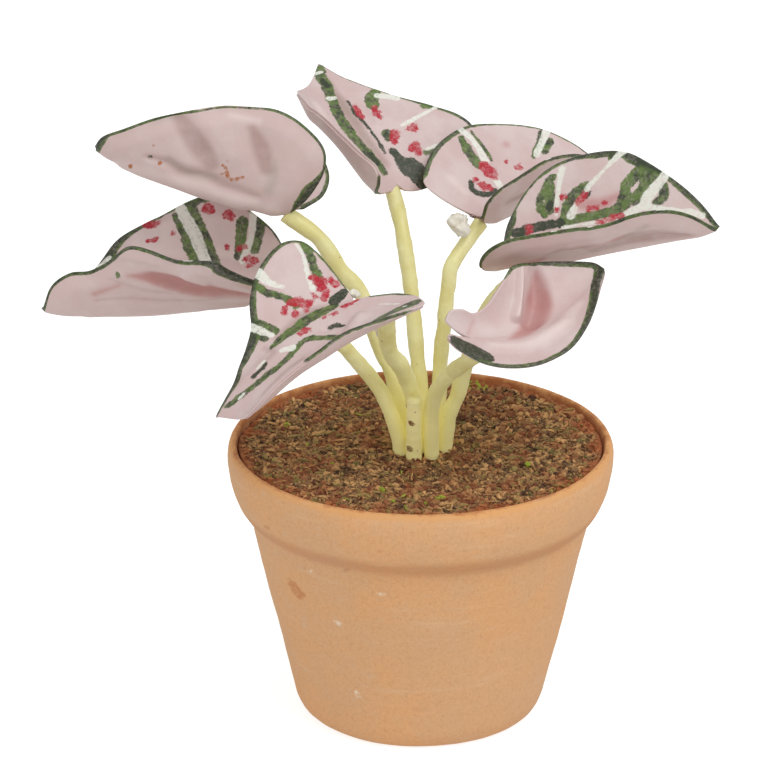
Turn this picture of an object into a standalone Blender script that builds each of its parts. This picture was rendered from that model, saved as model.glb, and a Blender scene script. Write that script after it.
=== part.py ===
"""Miniature potted caladium: seven folded clay leaves on their stems, a cut stem, soil and a terracotta pot.

The frame stands at the middle of the pot's flat base. +Z is up, and -Y is the side that faces a viewer.
Sizes are written in millimetres and turned into metres by MM.
"""

import math

import bmesh
import bpy
from mathutils import Matrix, Vector, noise
from mathutils.geometry import interpolate_bezier

MM = 0.001

# Pot
POT_HEIGHT = 23.7
POT_SIDES = 48
RIM_RADIUS = 16.05
BASE_RADIUS = 10.65
BASE_ROUNDING = 1.55
FOOT_HEIGHT = 2.2
FLOOR_THICKNESS = 2.2
WALL_THICKNESS = 1.6
MOUTH_HEIGHT = 20.2
MOUTH_RADIUS = 14.2
LIP_THICKNESS = 0.75

# Soil
SOIL_TOP = 23.2
SOIL_GAP = 0.3
SOIL_RINGS = 13
SOIL_SIDES = 48
CRUMB_HEIGHT = 0.45
CRUMB_SIZE = 0.9
ROOT_DEPTH = 6.0
HOLE_GAP = 0.2

# Stems
STEM_RADIUS = 0.64
STEM_SIDES_RESOLUTION = 3
STEM_STATIONS = 15
CUT_STEM_STATIONS = 5
JOINT_GAP = 0.35

# Leaf blades
BLADE_THICKNESS = 0.62
KEEL_THICKNESS = 1.15
KEEL_REACH = 1.0
CREASE_ROUNDING = 0.7
BLADE_ROWS = 15
BLADE_COLUMNS = 7
FIRST_ROW_SHARE = 0.05
ROW_SPREAD = 1.9
SECTION_STEPS = 12


def half(outline, fold, curl, wave=(0.0, 1.0, 0.0)):
    """One half of a blade: its flat outline as (across, along) in mm from the notch round the back
    lobe to the tip, how far it folds up at the midrib and curls on over its width at the lobe, the
    middle and the tip in degrees, and its edge's wave as height in mm, number of waves and shift
    in turns."""
    return {"outline": outline, "fold": fold, "curl": curl, "wave": wave}


# Each leaf: where its notch and its tip are in mm, the (across, along) place that its stem ends under, how
# far its face rolls to its right and how much its midrib arches in degrees, and its two halves. Left, with
# across below zero, is the left-hand side from the notch towards the tip with the painted face up.
LEAVES = {
    "upper_left": {
        "notch": (-10.8, 1.8, 43.7),
        "tip": (-26.7, 4.0, 48.3),
        "joint": (0.0, 0.1),
        "roll": 0.0,
        "arch": -8.0,
        "left": half(
            (
                (0.4, -0.6), (2.4, -1.7), (4.7, -2.4), (6.7, -1.9), (8.2, 0.3),
                (8.8, 2.6), (8.5, 4.8), (7.8, 7.6), (6.6, 10.3), (5.3, 12.6),
                (3.5, 14.8), (2.0, 16.3),
            ),
            (85, 85, 68),
            (5, 5, 20),
        ),
        "right": half(
            (
                (0.5, -1.2), (2.4, -2.4), (4.8, -2.4), (7.0, -0.9), (8.2, 1.6),
                (8.2, 4.6), (7.2, 7.6), (5.6, 10.6), (3.7, 13.4), (1.6, 15.6),
            ),
            (24, 16, 12),
            (10, 10, 10),
            (0.5, 1.6, 0.2),
        ),
    },
    "left": {
        "notch": (-13.4, 2.9, 35.8),
        "tip": (-31.3, 1.4, 35.05),
        "joint": (0.0, 0.4),
        "roll": 0.0,
        "arch": -6.0,
        "left": half(
            (
                (0.5, -1.6), (2.5, -2.6), (5.0, -1.8), (7.1, 0.4), (8.6, 2.3),
                (9.6, 3.4), (8.9, 5.0), (8.2, 6.6), (8.7, 8.7), (8.5, 10.6),
                (6.4, 12.3), (5.1, 13.9), (4.6, 15.6), (3.0, 17.2),
            ),
            (25, 47, 70),
            (0, 10, 20),
        ),
        "right": half(
            (
                (0.6, -2.0), (2.6, -2.7), (4.6, -2.2), (6.2, -1.1), (8.0, 0.8),
                (9.2, 2.9), (9.3, 4.6), (8.8, 6.8), (8.1, 9.1), (6.9, 11.4),
                (4.2, 13.4), (1.6, 15.7),
            ),
            (60, 38, 25),
            (10, 0, 0),
        ),
    },
    "front_left": {
        "notch": (-5.6, -7.8, 39.2),
        "tip": (-16.6, -12.4, 30.9),
        "joint": (-1.0, -2.2),
        "roll": 10.0,
        "arch": 38.0,
        "left": half(
            (
                (0.5, -1.6), (1.5, -3.6), (3.2, -4.7), (5.6, -4.4), (6.9, -2.2),
                (7.6, 0.5), (7.8, 3.0), (7.0, 5.6), (6.3, 8.4), (5.6, 11.0),
                (4.0, 13.2),
            ),
            (-15, -50, -48),
            (25, 98, 118),
        ),
        "right": half(
            (
                (0.5, -0.3), (2.4, -0.1), (4.2, 0.1), (6.0, 0.4), (7.6, 1.0),
                (8.2, 2.4), (7.2, 4.5), (5.4, 6.3), (3.4, 7.6), (2.4, 9.0),
                (1.6, 10.6), (0.7, 12.2),
            ),
            (40, 40, 0),
            (0, 0, 0),
        ),
    },
    "top": {
        "notch": (-1.9, 8.9, 43.0),
        "tip": (-8.6, 20.9, 49.75),
        "joint": (-0.2, 0.3),
        "roll": 0.0,
        "arch": 42.0,
        "left": half(
            (
                (0.5, -0.4), (2.4, -0.8), (4.4, -1.1), (6.2, -1.0), (7.4, -0.1),
                (7.0, 1.7), (6.8, 3.8), (6.9, 6.0), (6.7, 8.2), (5.1, 10.6),
                (2.4, 12.8),
            ),
            (15, -28, -33),
            (85, 105, 112),
        ),
        "right": half(
            (
                (0.5, -0.6), (1.5, -0.8), (2.9, -0.7), (5.0, -0.3), (7.2, 1.2),
                (8.6, 3.4), (8.0, 5.1), (6.2, 6.7), (4.4, 8.1), (2.9, 9.5),
                (1.6, 11.1), (0.5, 13.2),
            ),
            (5, 5, 5),
            (0, 0, 0),
        ),
    },
    "back_right": {
        "notch": (4.9, 6.2, 41.3),
        "tip": (16.1, 15.9, 42.1),
        "joint": (0.0, 0.1),
        "roll": 0.0,
        "arch": 8.0,
        "left": half(
            (
                (0.6, -0.3), (2.0, -1.2), (3.4, -1.9), (4.9, -2.2), (6.2, -1.1),
                (7.4, 0.9), (8.0, 3.2), (8.0, 5.1), (7.4, 7.2), (6.3, 9.8),
                (5.0, 11.8), (3.0, 13.6),
            ),
            (40, 40, 40),
            (0, 0, 0),
        ),
        "right": half(
            (
                (0.6, -0.5), (2.0, -1.0), (3.5, -1.2), (4.8, -0.3), (5.5, 1.4),
                (6.3, 3.4), (6.2, 5.4), (5.1, 8.4), (3.4, 10.6), (1.6, 12.8),
            ),
            (53, 53, 53),
            (5, 5, 5),
        ),
    },
    "right": {
        "notch": (8.6, -0.7, 40.1),
        "tip": (24.2, -2.7, 43.75),
        "joint": (0.0, 0.5),
        "roll": 0.0,
        "arch": 8.0,
        "left": half(
            (
                (0.5, -1.8), (1.8, -1.8), (3.2, -1.3), (4.5, -0.4), (5.8, 0.8),
                (7.1, 2.6), (7.7, 4.6), (7.8, 7.2), (7.4, 9.2), (6.3, 10.8),
                (4.2, 13.1), (2.2, 14.8),
            ),
            (56, 56, 56),
            (6, 6, 6),
        ),
        "right": half(
            (
                (0.5, -2.6), (2.3, -3.4), (4.6, -2.7), (6.2, -1.2), (6.8, 0.6),
                (6.5, 2.8), (6.1, 5.4), (5.4, 7.7), (5.6, 10.0), (4.9, 12.5),
                (2.9, 14.6),
            ),
            (33, 33, 50),
            (10, 10, 10),
        ),
    },
    "front_right": {
        "notch": (4.2, -11.0, 37.2),
        "tip": (14.7, -5.7, 41.15),
        "joint": (0.0, 1.6),
        "roll": 0.0,
        "arch": -70.0,
        "left": half(
            (
                (0.9, -2.7), (1.9, -2.5), (2.3, -1.2), (2.2, 0.2), (2.9, 1.6),
                (4.0, 3.0), (4.8, 4.6), (5.5, 6.4), (5.2, 8.5), (4.3, 10.4),
                (2.9, 12.0), (1.3, 13.1),
            ),
            (60, 50, 40),
            (110, 30, 0),
        ),
        "right": half(
            (
                (0.4, -2.4), (1.0, -3.0), (1.9, -2.6), (2.6, -1.6), (3.4, -0.2),
                (4.0, 1.8), (4.4, 4.0), (4.2, 6.4), (3.1, 8.8), (1.7, 10.8),
                (0.7, 12.0),
            ),
            (-30, -12, -5),
            (0, 0, 0),
        ),
    },
}

# Each stem's route in mm from its root at the soil's surface, with its thickness there and at the
# top as shares of STEM_RADIUS. It ends under its leaf, where the leaf's joint says.
STEMS = {
    "left": {
        "route": (
            (-1.6, -1.4, 23.2), (-2.0, -1.5, 25.4), (-3.35, -1.6, 28.85), (-5.55, -1.5, 31.75),
            (-7.4, -1.2, 33.3),
        ),
        "thickness": (1.06, 0.92),
    },
    "upper_left": {
        "route": (
            (-1.55, 0.15, 23.2), (-1.8, 0.2, 26.4), (-2.4, 0.3, 29.7), (-3.4, 0.5, 31.9),
            (-4.8, 0.9, 36.2), (-6.7, 1.2, 38.5), (-8.3, 1.5, 40.95),
        ),
        "thickness": (1.0, 1.1),
    },
    "front_left": {
        "route": (
            (-0.1, -0.9, 23.2), (-0.3, -1.0, 26.2), (-0.7, -1.6, 28.5), (-1.55, -2.9, 31.3),
            (-2.65, -4.5, 33.8),
        ),
        "thickness": (1.05, 1.15),
    },
    "top": {
        "route": (
            (0.0, 0.9, 23.2), (0.0, 1.3, 27.8), (-0.3, 2.0, 30.5), (-0.8, 4.0, 35.8),
            (-1.55, 5.9, 40.3),
        ),
        "thickness": (1.0, 1.0),
    },
    "back_right": {
        "route": (
            (1.55, 0.75, 23.2), (1.55, 1.2, 26.8), (1.7, 2.0, 30.5), (2.0, 2.7, 33.3),
            (2.3, 3.4, 36.1), (2.7, 3.9, 38.0),
        ),
        "thickness": (1.0, 0.95),
    },
    "right": {
        "route": (
            (2.0, -0.9, 23.2), (2.3, -0.9, 26.1), (3.1, -0.9, 28.3), (3.85, -0.8, 31.2),
            (5.05, -0.6, 34.7), (6.5, -0.4, 37.0),
        ),
        "thickness": (1.05, 0.95),
    },
    "front_right": {
        "route": (
            (0.95, -2.2, 23.2), (0.85, -2.5, 26.7), (1.2, -3.2, 29.1), (2.1, -4.2, 31.0),
            (3.0, -5.0, 32.2),
        ),
        "thickness": (1.0, 1.0),
    },
}
CUT_STEM = {
    "route": ((-0.55, -2.6, 23.2), (-0.55, -3.0, 26.0), (-0.55, -3.4, 28.8)),
    "thickness": (1.02, 0.9),
}

PINK = (0.66, 0.49, 0.48)
STEM_GREEN = (0.60, 0.56, 0.26)
CUT_STEM_CREAM = (0.56, 0.46, 0.22)
TERRACOTTA = (0.60, 0.34, 0.17)
SOIL_BROWN = (0.17, 0.09, 0.04)


def clear_scene():
    for obj in list(bpy.data.objects):
        bpy.data.objects.remove(obj, do_unlink=True)


def material(name, colour, roughness):
    made = bpy.data.materials.new(name)
    made.use_nodes = True
    shader = made.node_tree.nodes["Principled BSDF"]
    shader.inputs["Base Color"].default_value = (*colour, 1.0)
    shader.inputs["Roughness"].default_value = roughness
    shader.inputs["Metallic"].default_value = 0.0
    made.diffuse_color = (*colour, 1.0)
    return made


def link(name, data, finish):
    obj = bpy.data.objects.new(name, data)
    bpy.context.scene.collection.objects.link(obj)
    data.materials.append(finish)
    return obj


def bezier(start, start_handle, end_handle, end, points):
    """A round stretch of a profile in the XZ plane, without its first point."""
    knots = [Vector((x, 0.0, z)) for x, z in (start, start_handle, end_handle, end)]
    curve = interpolate_bezier(*knots, points + 1)
    return [(point.x, point.z) for point in curve[1:]]


def turned_solid(name, profile, sides):
    """A closed body turned about Z from a profile of (radius, height) in mm. Its ends lie on the axis."""
    shape = bmesh.new()
    corners = [shape.verts.new((r * MM, 0.0, z * MM)) for r, z in profile]
    edges = [shape.edges.new(pair) for pair in zip(corners, corners[1:])]
    bmesh.ops.spin(
        shape,
        geom=corners + edges,
        cent=(0.0, 0.0, 0.0),
        axis=(0.0, 0.0, 1.0),
        angle=2.0 * math.pi,
        steps=sides,
        use_merge=True,
    )
    bmesh.ops.remove_doubles(shape, verts=shape.verts, dist=0.002 * MM)
    bmesh.ops.recalc_face_normals(shape, faces=shape.faces)
    mesh = bpy.data.meshes.new(name)
    shape.to_mesh(mesh)
    shape.free()
    return mesh


def inner_wall_radius(height):
    """The pot's inner radius at a height: a taper from the floor up, then a wider mouth inside the lip."""
    floor_radius = BASE_RADIUS - WALL_THICKNESS
    if height < MOUTH_HEIGHT:
        share = (height - FLOOR_THICKNESS) / (MOUTH_HEIGHT - FLOOR_THICKNESS)
        return floor_radius + (MOUTH_RADIUS - floor_radius) * share
    share = (height - MOUTH_HEIGHT) / (POT_HEIGHT - MOUTH_HEIGHT)
    return MOUTH_RADIUS + (RIM_RADIUS - LIP_THICKNESS - MOUTH_RADIUS) * share


def pot_profile():
    """The pot's wall: flat base, rounded foot, tapered body, step under the rim band, rounded lip."""
    base = [(0.0, 0.0), (BASE_RADIUS - BASE_ROUNDING, 0.0)]
    foot_end = (BASE_RADIUS, FOOT_HEIGHT)
    foot = bezier(base[-1], (BASE_RADIUS - 0.85, 0.0), (BASE_RADIUS - 0.2, 0.9), foot_end, 5)
    neck = (13.8, POT_HEIGHT - 7.9)
    step_end = (14.45, POT_HEIGHT - 5.6)
    step = bezier(neck, (14.0, POT_HEIGHT - 7.1), (14.05, POT_HEIGHT - 6.3), step_end, 3)
    widest = (RIM_RADIUS, POT_HEIGHT - 1.2)
    band = bezier(step_end, (15.1, POT_HEIGHT - 5.6), (RIM_RADIUS, POT_HEIGHT - 3.3), widest, 5)
    crest = (RIM_RADIUS - 0.5, POT_HEIGHT)
    lip = bezier(widest, (RIM_RADIUS, POT_HEIGHT - 0.45), (RIM_RADIUS - 0.2, POT_HEIGHT), crest, 3)
    inner_heights = (POT_HEIGHT - 0.4, MOUTH_HEIGHT, FLOOR_THICKNESS)
    inside = [(inner_wall_radius(height), height) for height in inner_heights]
    return base + foot + [neck] + step + band + lip + inside + [(0.0, FLOOR_THICKNESS)]


def build_pot(finish):
    mesh = turned_solid("pot", pot_profile(), POT_SIDES)
    mesh.shade_smooth()
    mesh.set_sharp_from_angle(angle=math.radians(40))
    return link("pot", mesh, finish)


def crumb_relief(x, y):
    """Height in mm of the crumbs on the soil's surface, from two sizes of noise."""
    coarse = noise.noise(Vector((x / CRUMB_SIZE, y / CRUMB_SIZE, 3.7)))
    fine = noise.noise(Vector((x * 2.1 / CRUMB_SIZE, y * 2.1 / CRUMB_SIZE, 9.2)))
    return CRUMB_HEIGHT * (0.7 * coarse + 0.3 * fine)


def soil_mesh():
    """A plug of soil that fills the pot, with crumbs as relief on its top."""
    top_radius = inner_wall_radius(SOIL_TOP) - SOIL_GAP
    bottom = FLOOR_THICKNESS + SOIL_GAP
    heights = (bottom, MOUTH_HEIGHT, SOIL_TOP - 0.3)
    profile = [(0.0, bottom)] + [(inner_wall_radius(height) - SOIL_GAP, height) for height in heights]
    profile += [(top_radius * ring / SOIL_RINGS, SOIL_TOP) for ring in range(SOIL_RINGS - 1, -1, -1)]
    mesh = turned_solid("soil", profile, SOIL_SIDES)
    for vertex in mesh.vertices:
        if vertex.co.z > (SOIL_TOP - 0.1) * MM:
            vertex.co.z += crumb_relief(vertex.co.x / MM, vertex.co.y / MM) * MM
    return mesh


def root_hole(name, root, thickness):
    """A cutter for the plain hole that one stem stands in."""
    shape = bmesh.new()
    radius = (STEM_RADIUS * thickness + HOLE_GAP) * MM
    depth = ROOT_DEPTH + HOLE_GAP
    bmesh.ops.create_cone(
        shape,
        cap_ends=True,
        segments=14,
        radius1=radius,
        radius2=radius,
        depth=(depth + 2.0) * MM,
        matrix=Matrix.Translation(Vector((root[0], root[1], SOIL_TOP - depth / 2 + 1.0)) * MM),
    )
    mesh = bpy.data.meshes.new(name)
    shape.to_mesh(mesh)
    shape.free()
    cutter = bpy.data.objects.new(name, mesh)
    cutter.hide_render = True
    cutter.display_type = "WIRE"
    return cutter


def build_soil(finish):
    """The soil, with a plain hole for each stem."""
    obj = link("soil", soil_mesh(), finish)
    cutters = bpy.data.collections.new("root_holes")
    bpy.context.scene.collection.children.link(cutters)
    cutters.hide_render = True
    for name, stem in [*STEMS.items(), ("cut", CUT_STEM)]:
        cutters.objects.link(root_hole(name + "_root_hole", stem["route"][0], stem["thickness"][0]))
    cut = obj.modifiers.new("root_holes", "BOOLEAN")
    cut.operation = "DIFFERENCE"
    cut.operand_type = "COLLECTION"
    cut.collection = cutters
    cut.solver = "EXACT"
    return obj


def stem_end(leaf, before):
    """Where a leaf's stem ends in mm, just under the blade, when it comes from the point before."""
    axes = leaf_axes(leaf)
    across, along = leaf["joint"]
    side = -1 if across < 0 else 1
    underside = folded_point(leaf, axes, side, abs(across), along) - axes[3] * KEEL_THICKNESS
    lean = (underside - Vector(before)).angle(axes[3])
    return underside - axes[3] * (JOINT_GAP + STEM_RADIUS * math.sin(lean))


def build_stem(name, stem, finish, end=(), stations=STEM_STATIONS):
    """A round stem on its route, with its root sunk straight down in its hole."""
    points = [Vector(point) * MM for point in (*stem["route"], *end)]
    route = [smooth_point(points, station / (stations - 1)) for station in range(stations)]
    root = Vector(stem["route"][0]) * MM - Vector((0.0, 0.0, ROOT_DEPTH * MM))
    data = bpy.data.curves.new(name, "CURVE")
    data.dimensions = "3D"
    data.bevel_depth = STEM_RADIUS * MM
    data.bevel_resolution = STEM_SIDES_RESOLUTION
    data.use_fill_caps = True
    line = data.splines.new("POLY")
    line.points.add(len(route))
    low, high = stem["thickness"]
    line.points[0].co = (*root, 1.0)
    line.points[0].radius = low
    for index, point in enumerate(route):
        line.points[index + 1].co = (*point, 1.0)
        line.points[index + 1].radius = low + (high - low) * index / (len(route) - 1)
    return link(name, data, finish)


def along_three(values, share):
    """The value at a share of the way from the lobe over the middle to the tip."""
    back, middle, tip = values
    if share < 0.5:
        return back + (middle - back) * share * 2.0
    return middle + (tip - middle) * (share * 2.0 - 1.0)


def smooth_point(points, share):
    """The point at a share of a smooth curve that passes through the points."""
    ends = [points[0] * 2 - points[1], *points, points[-1] * 2 - points[-2]]
    place = share * (len(points) - 1)
    index = min(int(place), len(points) - 2)
    before, start, end, after = ends[index : index + 4]
    t = place - index
    across = (end - before) * t
    bend = (before * 2 - start * 5 + end * 4 - after) * t**2
    swing = (start * 3 - before - end * 3 + after) * t**3
    return (start * 2 + across + bend + swing) * 0.5


def leaf_axes(leaf):
    """Where the leaf starts in mm, its right, forward and up directions, and its length along its arch."""
    notch, tip = Vector(leaf["notch"]), Vector(leaf["tip"])
    forward = (tip - notch).normalized()
    right = forward.cross(Vector((0.0, 0.0, 1.0))).normalized()
    right.rotate(Matrix.Rotation(math.radians(leaf["roll"]), 3, forward))
    bend = math.radians(leaf["arch"])
    length = (tip - notch).length * (bend / 2) / math.sin(bend / 2)
    return notch, right, forward, right.cross(forward), length


def pattern_point(blade_half, length, share_out, t):
    """Flat (across, along) in mm: t runs from the notch to the tip, and share_out from rib to edge."""
    outline = [Vector(point) for point in blade_half["outline"]] + [Vector((0.0, length))]
    edge = smooth_point(outline, t)
    rib = length * (FIRST_ROW_SHARE * t + (1.0 - FIRST_ROW_SHARE) * t**ROW_SPREAD)
    return max(edge.x, 0.0) * share_out, rib + (edge.y - rib) * share_out


def cross_section(blade_half, across, share, wave_turn):
    """(outwards, upwards) in mm of a point across mm from the midrib, on the folded and curled half."""
    width = max(point[0] for point in blade_half["outline"])
    fold = math.radians(along_three(blade_half["fold"], share))
    curl = math.radians(along_three(blade_half["curl"], share))
    outwards = upwards = 0.0
    for step in range(SECTION_STEPS):
        reach = across * (step + 0.5) / SECTION_STEPS
        bend = fold * (1.0 - math.exp(-reach / CREASE_ROUNDING)) + curl * reach / width
        outwards += math.cos(bend) * across / SECTION_STEPS
        upwards += math.sin(bend) * across / SECTION_STEPS
    height, waves, shift = blade_half["wave"]
    lift = (across / width) ** 2 * height * math.sin(2.0 * math.pi * (waves * wave_turn + shift))
    bend = fold + curl * across / width
    return outwards - math.sin(bend) * lift, upwards + math.cos(bend) * lift


def folded_point(leaf, axes, side, across, along):
    """Where a point of the flat pattern lies in mm once the blade is folded and arched.
    side is -1 for the left half and 1 for the right."""
    notch, right, forward, up, length = axes
    blade_half = leaf["left"] if side < 0 else leaf["right"]
    lobe = -min(point[1] for point in blade_half["outline"])
    share = min(max((along + lobe) / (length + lobe), 0.0), 1.0)
    outwards, upwards = cross_section(blade_half, across, share, along / length)
    bend = math.radians(leaf["arch"])
    slope = bend * (0.5 - along / length)
    run = (math.sin(bend / 2) - math.sin(slope)) * length / bend - upwards * math.sin(slope)
    rise = (math.cos(slope) - math.cos(bend / 2)) * length / bend + upwards * math.cos(slope)
    return notch + right * side * outwards + forward * run + up * rise


def build_leaf(name, leaf, finish):
    """A folded blade: a sheet for its painted face, thickened downwards with a keel under the midrib."""
    axes = leaf_axes(leaf)
    columns = range(-BLADE_COLUMNS, BLADE_COLUMNS + 1)
    points = []
    keel = []
    for row in range(BLADE_ROWS):
        t = row / BLADE_ROWS
        for column in columns:
            side = -1 if column < 0 else 1
            blade_half = leaf["left"] if side < 0 else leaf["right"]
            across, along = pattern_point(blade_half, axes[4], abs(column) / BLADE_COLUMNS, t)
            points.append(folded_point(leaf, axes, side, across, along) * MM)
            keel.append(math.exp(-((across / KEEL_REACH) ** 2)) * (1.0 - t) ** 0.5)
    points.append(Vector(leaf["tip"]) * MM)
    keel.append(0.0)
    width = len(columns)
    faces = []
    for row in range(BLADE_ROWS - 1):
        for column in range(width - 1):
            a = row * width + column
            b, c, d = a + 1, a + 1 + width, a + width
            faces += [(a, b, c), (a, c, d)] if column < BLADE_COLUMNS else [(a, b, d), (b, c, d)]
    last = (BLADE_ROWS - 1) * width
    faces += [(last + column, last + column + 1, len(points) - 1) for column in range(width - 1)]
    mesh = bpy.data.meshes.new(name)
    mesh.from_pydata(points, [], faces)
    obj = link(name, mesh, finish)
    group = obj.vertex_groups.new(name="thickness")
    thin = BLADE_THICKNESS / KEEL_THICKNESS
    for index, share in enumerate(keel):
        group.add([index], thin + (1.0 - thin) * share, "REPLACE")
    thick = obj.modifiers.new("thickness", "SOLIDIFY")
    thick.thickness = KEEL_THICKNESS * MM
    thick.offset = -1.0
    thick.vertex_group = group.name
    return obj


def main():
    clear_scene()
    pink = material("pink_clay", PINK, 0.5)
    stem_green = material("stem_clay", STEM_GREEN, 0.45)
    build_pot(material("terracotta", TERRACOTTA, 0.9))
    build_soil(material("soil", SOIL_BROWN, 0.95))
    for name, stem in STEMS.items():
        end = stem_end(LEAVES[name], stem["route"][-1])
        build_stem(name + "_stem", stem, stem_green, [end])
    cut_cream = material("cut_stem_clay", CUT_STEM_CREAM, 0.5)
    build_stem("cut_stem", CUT_STEM, cut_cream, stations=CUT_STEM_STATIONS)
    for name, leaf in LEAVES.items():
        build_leaf(name + "_leaf", leaf, pink)
    bpy.context.view_layer.update()


main()
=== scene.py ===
"""Looks of a miniature potted caladium: painted clay leaves, clay stems, crumbly soil and a terracotta pot.

Lengths in the tables are millimetres, turned into metres by MM. A leaf's pattern is its blade laid flat, with
across measured from the midrib, below zero on the left half, and along measured from the notch to the tip.
"""

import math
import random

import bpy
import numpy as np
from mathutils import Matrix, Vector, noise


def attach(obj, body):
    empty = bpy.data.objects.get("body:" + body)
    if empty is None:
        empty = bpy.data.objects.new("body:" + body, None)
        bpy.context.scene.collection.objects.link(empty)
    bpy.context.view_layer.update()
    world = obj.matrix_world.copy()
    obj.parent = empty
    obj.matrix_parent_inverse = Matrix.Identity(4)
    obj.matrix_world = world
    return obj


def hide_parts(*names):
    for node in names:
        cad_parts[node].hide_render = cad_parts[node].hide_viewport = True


bl_info = {
    "name": "Potted Caladium",
    "version": (1, 0, 0),
    "blender": (4, 5, 0),
    "location": "3D View > Sidebar > Caladium",
    "description": "Builds a miniature caladium of painted clay in a terracotta pot",
    "category": "Add Mesh",
}

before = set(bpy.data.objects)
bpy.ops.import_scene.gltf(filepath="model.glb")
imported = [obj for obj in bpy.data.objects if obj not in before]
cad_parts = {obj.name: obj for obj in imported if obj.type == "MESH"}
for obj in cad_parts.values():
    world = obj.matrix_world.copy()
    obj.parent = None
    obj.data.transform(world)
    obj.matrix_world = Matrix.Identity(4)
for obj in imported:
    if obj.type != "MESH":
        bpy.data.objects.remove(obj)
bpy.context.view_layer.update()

MM = 0.001
FULL_TURN = 2.0 * math.pi
DRAWN_TURN = 6.28
FAR_OUTSIDE = -9.0

# Leaf blades
SIDES = ((-1, "left"), (1, "right"))
BLADE_THICKNESS = 0.62
KEEL_THICKNESS = 1.15
KEEL_REACH = 1.0
KEEL_START = -0.8
KEEL_RISE = 2.0
KEEL_LEAST = 0.1
CREASE_ROUNDING = 0.7
FIRST_ROW_SHARE = 0.25
ROW_SPREAD = 1.6
SECTION_STEPS = 12
GRID_COLUMNS = 112
GRID_ROWS = 130
COLUMN_CROWDING = 1.45
EDGE_THICKNESS = 0.32
EDGE_TAPER = 1.6
EDGE_ROUNDING = 0.13
EDGE_WALL = 0.05
WRAPPED_PAINT = 0.04
TONE_REACH = 0.75
WAVE_COUNT = 14
WAVE_LENGTHS = (1.2, 7.0)
WAVE_GAIN = 2.4


def half(outline, fold, curl, wave=(0.0, 1.0, 0.0)):
    """One half of a blade: its flat outline as (across, along) from the notch round the lobe to the tip, how
    far it folds up at the midrib and curls on over its width, in degrees at the lobe, the middle and the tip,
    and its edge's wave as height, number of waves and shift in turns."""
    return {"outline": outline, "fold": fold, "curl": curl, "wave": wave}


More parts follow.
